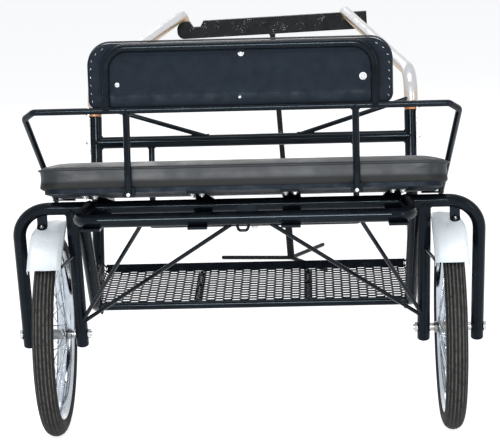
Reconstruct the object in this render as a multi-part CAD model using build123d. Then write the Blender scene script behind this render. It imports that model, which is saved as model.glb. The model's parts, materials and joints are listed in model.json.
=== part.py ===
from build123d import *
import os
from math import asin, atan2, cos, degrees, pi, radians, sin, tan

# Two-wheeled horse cart with its shaft stand, in millimetres.
# +X is the cart's right, +Y is forward, +Z is up. While it is being modelled, the ground is at Z = 0
# and the axle line is at Y = 0. The last section moves every piece so that the origin is at the
# centre of the whole object's footprint, on the ground.

# ---------------------------------------------------------------- driving dimensions
# Wheels
TYRE_DIAMETER = 610.0
TYRE_SECTION = 62.0
TYRE_SEAT_DEPTH = 8.0
RIM_WIDTH = 50.0
RIM_DEPTH = 14.0
RIM_WALL = 4.0
RIM_SHOULDER = 8.0
HUB_LENGTH = 100.0
HUB_BARREL_DIAMETER = 34.0
HUB_FLANGE_DIAMETER = 64.0
HUB_FLANGE_THICKNESS = 4.0
HUB_FLANGE_INSET = 16.0
SPOKE_COUNT = 36
SPOKE_DIAMETER = 3.4
SPOKE_LEAD = 66.0
SPOKE_HOLE_INSET = 4.0
AXLE_DIAMETER = 16.0
AXLE_RUNNING_CLEARANCE = 0.05
AXLE_HEX = 26.0
AXLE_HEX_HEIGHT = 8.0
AXLE_THREAD_SHOWN = 4.0
SPACER_DIAMETER = 24.0
HUB_SIDE_CLEARANCE = 1.0

# Frame tubing
FRAME_TUBE = 38.0
FRAME_WALL = 2.0
SMALL_WALL = 1.6
JOINT_OVERRUN = 5.0

# Axle arch: one tube over both wheels, with its legs leaning back
ARCH_OVER_TYRE = 98.0
ARCH_SETBACK = 110.0
ARCH_BEND_RADIUS = 92.0
OUTER_LEG_X = 670.0
INNER_LEG_X = 511.0
LEG_BELOW_AXLE = 33.0
LEG_PLUG_HEIGHT = 6.0
LEG_PLUG_EDGE = 4.0

# Seat carrier rail, a U behind the arch
CARRIER_X = 458.0
CARRIER_REAR_Y = -400.0
CARRIER_REAR_RISE = 17.0
CARRIER_BEND_RADIUS = 55.0

# Stays from the wheel legs to the carrier
STAY_DIAMETER = 12.0
STAY_OUTER_X = 294.0
STAY_INNER_X = 57.0
STAY_TOP_SHIFT = 18.0
STAY_FOOT_ABOVE_AXLE = 34.0

# Tie loop and gusset on the carrier's rear run
LOOP_X = -4.0
LOOP_WIDTH = 46.0
LOOP_DROP = 20.0
LOOP_ROD = 8.0
GUSSET_X = 8.0
GUSSET_FOOT = 64.0
GUSSET_TOP = 44.0
GUSSET_HEIGHT = 18.0
GUSSET_THICKNESS = 5.0

# C springs between the carrier and the seat, open to the rear
SPRING_WIDTH = 54.0
SPRING_THICKNESS = 7.0
SPRING_INNER_X = 128.0
SPRING_OUTER_INSET = 132.0
SPRING_BEND_RADIUS = 17.0
SPRING_OVERHANG = 16.0
SPRING_BED = 0.5

# Seat, which the unloaded springs hold with its front edge low
SEAT_TILT = 12.3
SEAT_WIDTH = 1108.0
SEAT_DEPTH = 440.0
SEAT_BEHIND_SPRING = 20.0
SEAT_OVER_ARCH = 101.0
SEAT_BOARD = 12.0
SEAT_BOARD_INSET = 8.0
CUSHION_THICKNESS = 66.0
CUSHION_CORNER = 60.0
CUSHION_EDGE = 20.0

# Backrest
BACK_WIDTH = 820.0
BACK_OVER_SEAT = 231.0
BACK_HEIGHT = 175.0
BACK_Y = -448.0
BACK_BOARD_THICKNESS = 10.0
BACK_PAD_THICKNESS = 46.0
BACK_CORNER = 60.0
BACK_LOWER_CORNER = 22.0
BACK_EDGE = 18.0
HOOP_DIAMETER = 22.0
HOOP_X = 362.0
HOOP_BEND_RADIUS = 60.0

# Arm rail round the seat
ARM_TUBE = 18.0
ARM_BESIDE_SEAT = 36.0
ARM_OVER_SEAT = 227.0
ARM_SHOULDER = (40.0, 22.0)
ARM_FOOT_BESIDE_SEAT = 8.0
ARM_FOOT_FROM_FRONT = 26.0
ARM_FOOT_LENGTH = 66.0
ARM_FOOT_WIDTH = 24.0
ARM_FOOT_THICKNESS = 6.0
ARM_CORNER_RUN = 30.0
ARM_BEND_RADII = (14.0, 30.0)
SUPPORT_X = 309.0
SUPPORT_DIAMETER = 19.0
SUPPORT_CLEARANCE = 1.0
SUPPORT_UPRIGHT = 40.0
SUPPORT_BEND_RADIUS = 60.0
SUPPORT_FOOT_WIDTH = 34.0
SUPPORT_FOOT_HEIGHT = 26.0

# Side tubes: from the arch down to the floor, along its edge and up to the shaft sockets
SIDE_TOP_X = 484.0
SIDE_FLOOR_X = 480.0
POST_X = 509.0
SIDE_BEND_RADIUS = 90.0
POST_TOP_Y = 604.0
POST_TOP_OVER_AXLE = 569.0
POST_FOOT_Y = 500.0

# Cross tubes between the posts
CROSSBAR_OVER_AXLE = 487.0
VEE_TUBE = 15.0
VEE_CENTRE_X = 108.0
VEE_RISE = 40.0
STRUT_TUBE = 20.0
STRUT_INSET = 10.0
HANGER_OVER_AXLE = 248.0
HANGER_TUBE = 25.0

# Singletree: the bar that the traces pull, under the hanger bar on an upright pivot bolt
TREE_LENGTH = 680.0
TREE_WIDTH = 38.0
TREE_THICKNESS = 12.0
TREE_EYE_DIAMETER = 12.0
TREE_EYE_INSET = 22.0
TREE_SWING = 20.0
PIVOT_DIAMETER = 12.0
PIVOT_CLEARANCE = 0.08
PIVOT_WASHER_DIAMETER = 34.0
PIVOT_WASHER = 8.0
PIVOT_HEX = 19.0
PIVOT_HEX_HEIGHT = 8.0
PIVOT_GAP = 0.5

# Floor
FLOOR_REAR_Y = 150.0
FLOOR_FRONT_Y = 450.0
FLOOR_REAR_OVER_AXLE = 60.0
FLOOR_FRONT_OVER_AXLE = 86.0
FLOOR_X = 476.0
FLOOR_EDGE_TUBE = 25.0
FLOOR_MEMBER_X = 169.0
FLOOR_MEMBER_WIDTH = 25.0
FLOOR_MEMBER_HEIGHT = 12.0
MESH_THICKNESS = 3.0
LIP_HEIGHT = 26.0
LIP_LEAN = 25.0
SIDE_LIP_HEIGHT = 42.0
SIDE_LIP_LEAN = 33.0

# Fenders
FENDER_WIDTH = 97.0
FENDER_LEG_GAP = 1.0
FENDER_GAP = 63.0
FENDER_THICKNESS = 2.5
FENDER_FLANGE = 16.0
FENDER_CORNER_WIDTH = 62.0
FENDER_CORNER_LENGTH = 116.0
FENDER_FRONT_ANGLE = 101.0
FENDER_REAR_ANGLE = 136.5
FENDER_TAB_WIDTH = 30.0
FENDER_TAB_THICKNESS = 5.0
FENDER_TAB_X = 598.0
FENDER_STAY_DIAMETER = 10.0
FENDER_STAY_ANGLE = 134.0

# Shafts
SHAFT_TUBE = 44.0
SHAFT_WALL = 3.0
SHAFT_X = 513.0
SHAFT_TIP_X = 338.0
SHAFT_OVER_AXLE = 690.0
SHAFT_TIP_OVER_AXLE = 733.0
SHAFT_BEND_Y = 641.0
SHAFT_BEND_RADIUS = 100.0
SHAFT_TIP_Y = 2450.0
SHAFT_TIP_DROP = 60.0
SHAFT_TIP_REACH = 25.0
SHAFT_TIP_TURN = 16.0
SHAFT_TIP_RADIUS = 34.0
STRAP_LENGTH = 150.0
STRAP_TOP_WIDTH = 34.0
STRAP_FOOT_WIDTH = 16.0
STRAP_THICKNESS = 5.0
STRAP_RISE = 30.0

# Shaft stand
STAND_Y = 2400.0
STAND_FOOT_X = 92.0
STAND_TOP_X = 34.0
STAND_SADDLE = 0.5
STAND_POLE = 22.0
STAND_SLEEVE = 30.0
STAND_SLEEVE_HEIGHT = 150.0
STAND_LEG_TUBE = 16.0
STAND_LEG_LENGTH = 290.0
STAND_LEG_DIRECTIONS = (174.0, 62.0, -60.0)
STAND_BAR_LENGTH = 784.0
STAND_BAR_DEPTH = 70.0
STAND_BAR_THICKNESS = 34.0
STAND_BAR_CORNER = 30.0
STAND_NOTCH_X = 311.0
STAND_NOTCH_WIDTH = 58.0
STAND_NOTCH_DEPTH = 24.0
STAND_NOTCH_OVERCUT = 1.0
STAND_FORK_WIDTH = 26.0
STAND_FORK_HEIGHT = 60.0
STAND_FORK_THICKNESS = 4.0

# ---------------------------------------------------------------- worked out from them
AXLE_Z = TYRE_DIAMETER / 2
ARCH_HEIGHT = TYRE_DIAMETER + ARCH_OVER_TYRE
CARRIER_REAR_Z = ARCH_HEIGHT + CARRIER_REAR_RISE
SEAT_BOTTOM_Z = ARCH_HEIGHT + SEAT_OVER_ARCH
BACK_BOTTOM_Z = SEAT_BOTTOM_Z + BACK_OVER_SEAT
BACK_TOP_Z = BACK_BOTTOM_Z + BACK_HEIGHT
ARM_X = SEAT_WIDTH / 2 + ARM_BESIDE_SEAT
ARM_Z = SEAT_BOTTOM_Z + ARM_OVER_SEAT
SPRING_X = (SPRING_INNER_X, SEAT_WIDTH / 2 - SPRING_OUTER_INSET)
POST_TOP_Z = AXLE_Z + POST_TOP_OVER_AXLE
CROSSBAR_Z = AXLE_Z + CROSSBAR_OVER_AXLE
HANGER_Z = AXLE_Z + HANGER_OVER_AXLE
STRUT_X = TREE_LENGTH / 2 - STRUT_INSET
FLOOR_REAR_Z = AXLE_Z + FLOOR_REAR_OVER_AXLE
FLOOR_FRONT_Z = AXLE_Z + FLOOR_FRONT_OVER_AXLE
SHAFT_Z = AXLE_Z + SHAFT_OVER_AXLE
SHAFT_TIP_Z = AXLE_Z + SHAFT_TIP_OVER_AXLE
LEG_INNER_FACE = INNER_LEG_X + FRAME_TUBE / 2
LEG_OUTER_FACE = OUTER_LEG_X - FRAME_TUBE / 2
WHEEL_X = (LEG_INNER_FACE + LEG_OUTER_FACE) / 2
LEG_LEAN = atan2(ARCH_SETBACK, ARCH_HEIGHT - AXLE_Z)
FLOOR_SLOPE = atan2(FLOOR_FRONT_Z - FLOOR_REAR_Z, FLOOR_FRONT_Y - FLOOR_REAR_Y)
SIDE_BELOW_MESH = FRAME_TUBE / 2 + MESH_THICKNESS / 2
SPRING_REAR_Y = CARRIER_REAR_Y - FRAME_TUBE / 2 - SPRING_OVERHANG
SEAT_REAR_Y = SPRING_REAR_Y - SEAT_BEHIND_SPRING
pieces = {}


def line_path(points, radii=None):
    """A path through the points with each corner rounded."""
    if len(points) == 2:
        return Wire([Edge.make_line(points[0], points[1])])
    return Wire(FilletPolyline(*points, radius=radii).edges())


def rod(points, diameter, radii=None):
    """A solid round bar along a path."""
    path = line_path(points, radii)
    return sweep(Plane(origin=path @ 0, z_dir=path % 0) * Circle(diameter / 2), path=path)


def tube(points, diameter, wall, radii=None):
    """A hollow round tube along a path."""
    path = line_path(points, radii)
    ring = Circle(diameter / 2) - Circle(diameter / 2 - wall)
    return sweep(Plane(origin=path @ 0, z_dir=path % 0) * ring, path=path)


def both_sides(shape):
    """The right-hand piece and its mirror image on the left."""
    return [shape, mirror(shape, about=Plane.YZ)]


def cut(shape, *tools):
    """The largest solid that is left of a shape after some others are taken from it."""
    for tool in tools:
        shape = shape - tool
    return shape.solids().sort_by(SortBy.VOLUME)[-1]


def add(node, *solids):
    """Keep the solids of one node."""
    kept = pieces.setdefault(node, [])
    for item in solids:
        kept.extend(item if isinstance(item, list) else [item])


def cylinder_along_x(diameter, x0, x1, y, z):
    """A solid cylinder along X between two places."""
    return Location((x0, y, z)) * Rotation(0, 90, 0) * Cylinder(
        diameter / 2, x1 - x0, align=(Align.CENTER, Align.CENTER, Align.MIN))


def hexagon_along_x(across, x0, height, y, z):
    """A hexagon head or nut along X."""
    return Location((x0, y, z)) * Rotation(0, 90, 0) * extrude(
        RegularPolygon(across / 2, 6, major_radius=False), height)


# ---------------------------------------------------------------- axle arch and legs
foot_y = LEG_BELOW_AXLE * sin(LEG_LEAN)
foot_z = AXLE_Z - LEG_BELOW_AXLE * cos(LEG_LEAN)
arch_points = [
    (-OUTER_LEG_X, foot_y, foot_z),
    (-OUTER_LEG_X, -ARCH_SETBACK, ARCH_HEIGHT),
    (OUTER_LEG_X, -ARCH_SETBACK, ARCH_HEIGHT),
    (OUTER_LEG_X, foot_y, foot_z),
]
arch_bends = [ARCH_BEND_RADIUS] * 2
arch_filled = rod(arch_points, FRAME_TUBE, arch_bends)
bolt_hole = cylinder_along_x(AXLE_DIAMETER, -2 * OUTER_LEG_X, 2 * OUTER_LEG_X, 0, AXLE_Z)
add("axle_arch", tube(arch_points, FRAME_TUBE, FRAME_WALL, arch_bends) - bolt_hole)
leg_points = [(INNER_LEG_X, foot_y, foot_z), (INNER_LEG_X, -ARCH_SETBACK, ARCH_HEIGHT)]
leg_filled = rod(leg_points, FRAME_TUBE) - arch_filled
add("inner_legs", both_sides(tube(leg_points, FRAME_TUBE, FRAME_WALL) - arch_filled - bolt_hole))

# Plugs close the feet of the four legs
plug = Pos(0, 0, -LEG_PLUG_HEIGHT / 2) * Cylinder(FRAME_TUBE / 2, LEG_PLUG_HEIGHT)
plug = fillet(plug.edges().group_by(Axis.Z)[0], LEG_PLUG_EDGE)
for x in (INNER_LEG_X, OUTER_LEG_X):
    foot = Plane(origin=(x, foot_y, foot_z), x_dir=(1, 0, 0), z_dir=(0, -sin(LEG_LEAN), cos(LEG_LEAN)))
    add("leg_plugs", both_sides(foot.location * plug))

# ---------------------------------------------------------------- seat carrier, its stays, loop and gusset
carrier_points = [
    (-CARRIER_X, -ARCH_SETBACK, ARCH_HEIGHT),
    (-CARRIER_X, CARRIER_REAR_Y, CARRIER_REAR_Z),
    (CARRIER_X, CARRIER_REAR_Y, CARRIER_REAR_Z),
    (CARRIER_X, -ARCH_SETBACK, ARCH_HEIGHT),
]
carrier_bends = [CARRIER_BEND_RADIUS] * 2
carrier_filled = rod(carrier_points, FRAME_TUBE, carrier_bends) - arch_filled
add("seat_carrier", tube(carrier_points, FRAME_TUBE, FRAME_WALL, carrier_bends) - arch_filled)

rail_bottom = CARRIER_REAR_Z - FRAME_TUBE / 2
stay_foot = (INNER_LEG_X, -STAY_FOOT_ABOVE_AXLE * tan(LEG_LEAN), AXLE_Z + STAY_FOOT_ABOVE_AXLE)


def stays(shift):
    """An outer and an inner stay on the right, with their tops moved outwards by a shift."""
    outer = rod([stay_foot, (STAY_OUTER_X + shift, CARRIER_REAR_Y, CARRIER_REAR_Z)], STAY_DIAMETER)
    inner = rod([stay_foot, (STAY_INNER_X + shift, CARRIER_REAR_Y, rail_bottom)], STAY_DIAMETER)
    return cut(outer, leg_filled, carrier_filled), cut(inner, outer, leg_filled, carrier_filled)


# All four tops sit a little to the right
right_outer, right_inner = stays(STAY_TOP_SHIFT)
left_outer, left_inner = [mirror(stay, about=Plane.YZ) for stay in stays(-STAY_TOP_SHIFT)]
add("outer_stays", right_outer, left_outer)
add("inner_stays", right_inner, left_inner)

loop_low = rail_bottom - LOOP_DROP + LOOP_ROD / 2
loop = rod([
    (LOOP_X - LOOP_WIDTH / 2, CARRIER_REAR_Y, CARRIER_REAR_Z),
    (LOOP_X - LOOP_WIDTH / 4, CARRIER_REAR_Y, loop_low),
    (LOOP_X + LOOP_WIDTH / 4, CARRIER_REAR_Y, loop_low),
    (LOOP_X + LOOP_WIDTH / 2, CARRIER_REAR_Y, CARRIER_REAR_Z),
], LOOP_ROD, [LOOP_ROD] * 2)
add("tie_loop", cut(loop, carrier_filled))
gusset_z = CARRIER_REAR_Z + FRAME_TUBE / 2
gusset_corners = [(GUSSET_FOOT / 2, CARRIER_REAR_Z), (GUSSET_FOOT / 2, gusset_z),
                  (GUSSET_TOP / 2, gusset_z + GUSSET_HEIGHT)]
gusset_corners += [(-x, z) for x, z in reversed(gusset_corners)]
gusset = make_face(Polyline(*[(GUSSET_X + x, z) for x, z in gusset_corners], close=True))
gusset = Location((0, CARRIER_REAR_Y, 0)) * extrude(Plane.XZ * gusset, GUSSET_THICKNESS / 2, both=True)
add("rail_gusset", cut(gusset, carrier_filled))

# ---------------------------------------------------------------- wheels
rim_outer = AXLE_Z - TYRE_SECTION + TYRE_SEAT_DEPTH
tyre_centre = AXLE_Z - TYRE_SECTION / 2
half_rim = RIM_WIDTH / 2
rim_profile = [(rim_outer, half_rim - RIM_WALL), (rim_outer - RIM_SHOULDER, half_rim - RIM_WALL),
               (rim_outer - RIM_DEPTH, half_rim / 2)]
rim_back = [(rim_outer - RIM_DEPTH - RIM_WALL, half_rim / 2),
            (rim_outer - RIM_SHOULDER - RIM_WALL, half_rim), (rim_outer, half_rim)]
rim_outline = rim_profile + [(r, -x) for r, x in reversed(rim_profile)] + [
    (r, -x) for r, x in reversed(rim_back)] + rim_back
hub_flange_z = HUB_LENGTH / 2 - HUB_FLANGE_INSET


def wheel(side, sign):
    """One wheel: tyre, rim, hub and spokes, turning on its axle."""
    place = Location((sign * WHEEL_X, 0, AXLE_Z)) * Rotation(0, 90, 0)
    rim = revolve(Plane.XZ * make_face(Polyline(*rim_outline, close=True)), Axis.Z)
    well_radius = rim_outer - RIM_SHOULDER / 2
    tyre = revolve(Plane.XZ * Pos(tyre_centre, 0) * Circle(TYRE_SECTION / 2), Axis.Z)
    tyre = cut(tyre, Cylinder(well_radius, 2 * TYRE_SECTION), rim)
    hub = Cylinder(HUB_BARREL_DIAMETER / 2, HUB_LENGTH)
    for z in (-hub_flange_z, hub_flange_z):
        hub = hub + Pos(0, 0, z) * Cylinder(HUB_FLANGE_DIAMETER / 2, HUB_FLANGE_THICKNESS)
    hub = hub - Cylinder(AXLE_DIAMETER / 2 + AXLE_RUNNING_CLEARANCE, HUB_LENGTH)
    hub_r = HUB_FLANGE_DIAMETER / 2 - SPOKE_HOLE_INSET
    rim_r = rim_outer - RIM_DEPTH - RIM_WALL / 2
    spokes = []
    for i in range(SPOKE_COUNT):
        turn = 2 * pi * i / SPOKE_COUNT
        lead = radians(SPOKE_LEAD) * (1 if i // 2 % 2 else -1)
        z = hub_flange_z if i % 2 else -hub_flange_z
        start = (hub_r * cos(turn + lead), hub_r * sin(turn + lead), z)
        end = (rim_r * cos(turn), rim_r * sin(turn), 0)
        spokes.append(place * cut(rod([start, end], SPOKE_DIAMETER), rim, hub))
    add("tyre_" + side, place * tyre)
    add("rim_" + side, place * rim)
    add("hub_" + side, place * hub)
    add("spokes_" + side, spokes)


wheel("left", -1)
wheel("right", 1)

# Axles: a headed spindle through both legs and the hub, spacers beside the hub and a nut inside
nut_x = LEG_INNER_FACE - FRAME_TUBE - AXLE_HEX_HEIGHT
head_x = LEG_OUTER_FACE + FRAME_TUBE
spindle = cylinder_along_x(AXLE_DIAMETER, nut_x - AXLE_THREAD_SHOWN, head_x, 0, AXLE_Z)
add("axles", both_sides(spindle + hexagon_along_x(AXLE_HEX, head_x, AXLE_HEX_HEIGHT, 0, AXLE_Z)))
nut = hexagon_along_x(AXLE_HEX, nut_x, AXLE_HEX_HEIGHT, 0, AXLE_Z)
add("axle_nuts", both_sides(nut - spindle))
for x0, x1 in ((LEG_INNER_FACE, WHEEL_X - HUB_LENGTH / 2 - HUB_SIDE_CLEARANCE),
               (WHEEL_X + HUB_LENGTH / 2 + HUB_SIDE_CLEARANCE, LEG_OUTER_FACE)):
    spacer = cylinder_along_x(SPACER_DIAMETER, x0, x1, 0, AXLE_Z) - spindle
    add("axle_spacers", both_sides(spacer))

# ---------------------------------------------------------------- springs
# The upper arm lies along the underside of the seat, the lower arm under the arch and the carrier
half_leaf = SPRING_THICKNESS / 2
seat_tilt = radians(SEAT_TILT)
arch_bottom = ARCH_HEIGHT - FRAME_TUBE / 2
low_tilt = atan2(rail_bottom - arch_bottom, -ARCH_SETBACK - CARRIER_REAR_Y)
outer_radius = SPRING_BEND_RADIUS + half_leaf
upper_at_rear = SEAT_BOTTOM_Z - outer_radius / cos(seat_tilt)
lower_at_rear = (rail_bottom + SPRING_BED + (CARRIER_REAR_Y - SPRING_REAR_Y) * tan(low_tilt)
                 + (SPRING_BEND_RADIUS - half_leaf) / cos(low_tilt))
bend_run = (upper_at_rear - lower_at_rear) / (tan(seat_tilt) - tan(low_tilt))
bend_y = SPRING_REAR_Y + bend_run
bend_z = upper_at_rear - bend_run * tan(seat_tilt)


def leaf_edge(offset):
    """One face of the leaf in the side view: down the upper arm, round the bend, back along the lower arm."""
    radius = SPRING_BEND_RADIUS + offset
    top = (bend_y + radius * sin(seat_tilt), bend_z + radius * cos(seat_tilt))
    foot = (bend_y - radius * sin(low_tilt), bend_z - radius * cos(low_tilt))
    top_rear = (SPRING_REAR_Y, top[1] + (top[0] - SPRING_REAR_Y) * tan(seat_tilt))
    foot_rear = (SPRING_REAR_Y, foot[1] + (foot[0] - SPRING_REAR_Y) * tan(low_tilt))
    turn = SEAT_TILT - degrees(low_tilt) - 180
    return [Line(top_rear, top), CenterArc((bend_y, bend_z), radius, 90 - SEAT_TILT, turn), Line(foot, foot_rear)]


outer_edge, inner_edge = leaf_edge(half_leaf), leaf_edge(-half_leaf)
ends = [Line(outer_edge[0] @ 0, inner_edge[0] @ 0), Line(outer_edge[2] @ 1, inner_edge[2] @ 1)]
leaf_face = make_face(outer_edge + inner_edge + ends)
for x in SPRING_X:
    leaf = Location((x - SPRING_WIDTH / 2, 0, 0)) * extrude(Plane.YZ * leaf_face, SPRING_WIDTH)
    add("seat_springs", both_sides(cut(leaf, carrier_filled, arch_filled)))

# ---------------------------------------------------------------- seat
# The seat plane is the underside of the board: its X is across, its Y runs forward down the slope
seat_plane = Plane(origin=(0, SPRING_REAR_Y, SEAT_BOTTOM_Z), x_dir=(1, 0, 0),
                   z_dir=(0, sin(seat_tilt), cos(seat_tilt)))
seat_centre = SEAT_DEPTH / 2 - SEAT_BEHIND_SPRING
board = Box(SEAT_WIDTH - 2 * SEAT_BOARD_INSET, SEAT_DEPTH - 2 * SEAT_BOARD_INSET, SEAT_BOARD,
            align=(Align.CENTER, Align.CENTER, Align.MIN))
board = fillet(board.edges().filter_by(Axis.Z), CUSHION_CORNER - SEAT_BOARD_INSET)
seat_board = seat_plane * Pos(0, seat_centre, 0) * board
add("seat_board", seat_board)
cushion = Box(SEAT_WIDTH, SEAT_DEPTH, CUSHION_THICKNESS, align=(Align.CENTER, Align.CENTER, Align.MIN))
cushion = fillet(cushion.edges().filter_by(Axis.Z), CUSHION_CORNER)
cushion = fillet(cushion.edges().group_by(Axis.Z)[-1], CUSHION_EDGE)
seat_cushion = seat_plane * Pos(0, seat_centre, SEAT_BOARD) * cushion
add("seat_cushion", seat_cushion)

# ---------------------------------------------------------------- arm rail and backrest
arm_run, arm_drop = ARM_SHOULDER
foot_x = SEAT_WIDTH / 2 + ARM_FOOT_BESIDE_SEAT
foot_run = SEAT_DEPTH - SEAT_BEHIND_SPRING - ARM_FOOT_FROM_FRONT
foot_place = seat_plane * Location((foot_x, foot_run, -ARM_FOOT_THICKNESS / 2))
arm_corner = (ARM_X - ARM_CORNER_RUN, BACK_Y, ARM_Z)
arm_shoulder = (ARM_X, BACK_Y + arm_run, ARM_Z - arm_drop)
right_arm = [arm_corner, arm_shoulder, tuple(foot_place.position)]
arm_points = [(-x, y, z) for x, y, z in reversed(right_arm)] + right_arm
arm_bends = [*reversed(ARM_BEND_RADII), *ARM_BEND_RADII]
arm_filled = rod(arm_points, ARM_TUBE, arm_bends)
arm_tube = tube(arm_points, ARM_TUBE, SMALL_WALL, arm_bends)
flat_foot = foot_place * Pos((ARM_TUBE - ARM_FOOT_LENGTH) / 2, 0, 0) * Box(
    ARM_FOOT_LENGTH, ARM_FOOT_WIDTH, ARM_FOOT_THICKNESS)
arm_feet = both_sides(flat_foot)
add("arm_rail", cut(arm_tube + arm_feet[0] + arm_feet[1], seat_board, seat_cushion))

hoop_top = BACK_TOP_Z - HOOP_DIAMETER / 2
hoop_points = [(-HOOP_X, BACK_Y, ARM_Z), (-HOOP_X, BACK_Y, hoop_top), (HOOP_X, BACK_Y, hoop_top),
               (HOOP_X, BACK_Y, ARM_Z)]
add("back_hoop", cut(tube(hoop_points, HOOP_DIAMETER, SMALL_WALL, [HOOP_BEND_RADIUS] * 2), arm_filled))


def back_slab(y, thickness):
    """The backrest's outline, rounder at its upper corners, from y forward."""
    outline = Rectangle(BACK_WIDTH, BACK_HEIGHT)
    outline = fillet(outline.vertices().group_by(Axis.Y)[-1], BACK_CORNER)
    outline = fillet(outline.vertices().group_by(Axis.Y)[0], BACK_LOWER_CORNER)
    face = Plane(origin=(0, y, BACK_BOTTOM_Z + BACK_HEIGHT / 2), x_dir=(1, 0, 0), z_dir=(0, -1, 0))
    return extrude(face * outline, -thickness)


board_y = BACK_Y + HOOP_DIAMETER / 2
add("back_board", back_slab(board_y, BACK_BOARD_THICKNESS))
pad = back_slab(board_y + BACK_BOARD_THICKNESS, BACK_PAD_THICKNESS)
add("back_pad", fillet(pad.edges().group_by(Axis.Y)[-1], BACK_EDGE))

# Supports from the seat board's rear edge up to the arm rail, with flattened feet
foot_face_y = SPRING_REAR_Y
foot_plate_z = SEAT_BOTTOM_Z + (SPRING_REAR_Y - SEAT_REAR_Y) * sin(seat_tilt)
support_y = SEAT_REAR_Y - SUPPORT_DIAMETER / 2 - SUPPORT_CLEARANCE
support_bend = (SUPPORT_X, support_y, SEAT_BOTTOM_Z + SEAT_BOARD + SUPPORT_UPRIGHT)
support = rod([(SUPPORT_X, support_y, SEAT_BOTTOM_Z), support_bend, (SUPPORT_X, BACK_Y, ARM_Z)],
              SUPPORT_DIAMETER, [SUPPORT_BEND_RADIUS])
foot_plate = Pos(SUPPORT_X, (support_y + foot_face_y) / 2, foot_plate_z) * Box(
    SUPPORT_FOOT_WIDTH, foot_face_y - support_y, SUPPORT_FOOT_HEIGHT)
add("rail_supports", both_sides(cut(support + foot_plate, arm_filled, seat_board, seat_cushion)))

# ---------------------------------------------------------------- side tubes and posts
side_low_rear = (SIDE_FLOOR_X, FLOOR_REAR_Y, FLOOR_REAR_Z - SIDE_BELOW_MESH)
side_low_front = (POST_X, POST_FOOT_Y,
                  FLOOR_REAR_Z - SIDE_BELOW_MESH + (POST_FOOT_Y - FLOOR_REAR_Y) * tan(FLOOR_SLOPE))
side_top = Vector(SIDE_TOP_X, -ARCH_SETBACK, ARCH_HEIGHT)
side_start = side_top + (side_top - Vector(*side_low_rear)).normalized() * JOINT_OVERRUN
side_points = [tuple(side_start), side_low_rear, side_low_front, (POST_X, POST_TOP_Y, POST_TOP_Z)]
side_bends = [SIDE_BEND_RADIUS] * 2
side_block = cut(rod(side_points, FRAME_TUBE, side_bends), arch_filled)
side_blocks = both_sides(side_block)
side = cut(tube(side_points, FRAME_TUBE, FRAME_WALL, side_bends), arch_filled, leg_filled)
add("side_tubes", both_sides(side))


def post_y(z):
    """How far forward the post's centre is at a height."""
    return POST_TOP_Y - (POST_TOP_Z - z) * (POST_TOP_Y - POST_FOOT_Y) / (POST_TOP_Z - side_low_front[2])


def across(x, z):
    """The ends of a line across the cart, in the plane of the posts."""
    return [(-x, post_y(z), z), (x, post_y(z), z)]


crossbar_filled = rod(across(POST_X, CROSSBAR_Z), FRAME_TUBE)
add("front_crossbar", cut(tube(across(POST_X, CROSSBAR_Z), FRAME_TUBE, FRAME_WALL), *side_blocks))

# ---------------------------------------------------------------- singletree and its hanger
hanger_end = STRUT_X + STRUT_TUBE / 2
hanger = rod(across(hanger_end, HANGER_Z), HANGER_TUBE)
strut = rod([(STRUT_X, post_y(CROSSBAR_Z), CROSSBAR_Z), (STRUT_X, post_y(HANGER_Z), HANGER_Z)], STRUT_TUBE)
add("hanger_struts", both_sides(cut(strut, crossbar_filled, hanger)))
pivot_y = post_y(HANGER_Z)
hanger_bottom = HANGER_Z - HANGER_TUBE / 2
tree_z = hanger_bottom - PIVOT_WASHER - PIVOT_GAP - TREE_THICKNESS / 2
tree_bottom = tree_z - TREE_THICKNESS / 2
pivot_low = tree_bottom - PIVOT_GAP - PIVOT_HEX_HEIGHT
pivot_high = HANGER_Z + HANGER_TUBE / 2
pivot_shank = Pos(0, pivot_y, pivot_low) * Cylinder(
    PIVOT_DIAMETER / 2, pivot_high - pivot_low, align=(Align.CENTER, Align.CENTER, Align.MIN))
pivot_hex = extrude(RegularPolygon(PIVOT_HEX / 2, 6, major_radius=False), PIVOT_HEX_HEIGHT)
pivot_hexes = [Pos(0, pivot_y, z) * pivot_hex for z in (pivot_low, pivot_high)]
hanger_tube = tube(across(hanger_end, HANGER_Z), HANGER_TUBE, SMALL_WALL)
add("hanger_bar", cut(hanger_tube, pivot_shank, pivot_hexes[1]))
add("pivot_bolt", cut(pivot_shank + pivot_hexes[0] + pivot_hexes[1]))
washer = Pos(0, pivot_y, hanger_bottom - PIVOT_WASHER) * Cylinder(
    PIVOT_WASHER_DIAMETER / 2, PIVOT_WASHER + HANGER_TUBE / 4, align=(Align.CENTER, Align.CENTER, Align.MIN))
add("pivot_washer", cut(washer, hanger, pivot_shank))
tree = extrude(SlotOverall(TREE_LENGTH, TREE_WIDTH), TREE_THICKNESS / 2, both=True)
tree = tree - Cylinder(PIVOT_DIAMETER / 2 + PIVOT_CLEARANCE, TREE_THICKNESS)
for x in (-TREE_LENGTH / 2 + TREE_EYE_INSET, TREE_LENGTH / 2 - TREE_EYE_INSET):
    tree = tree - Pos(x, 0, 0) * Cylinder(TREE_EYE_DIAMETER / 2, TREE_THICKNESS)
add("singletree", Pos(0, pivot_y, tree_z) * tree)

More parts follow.
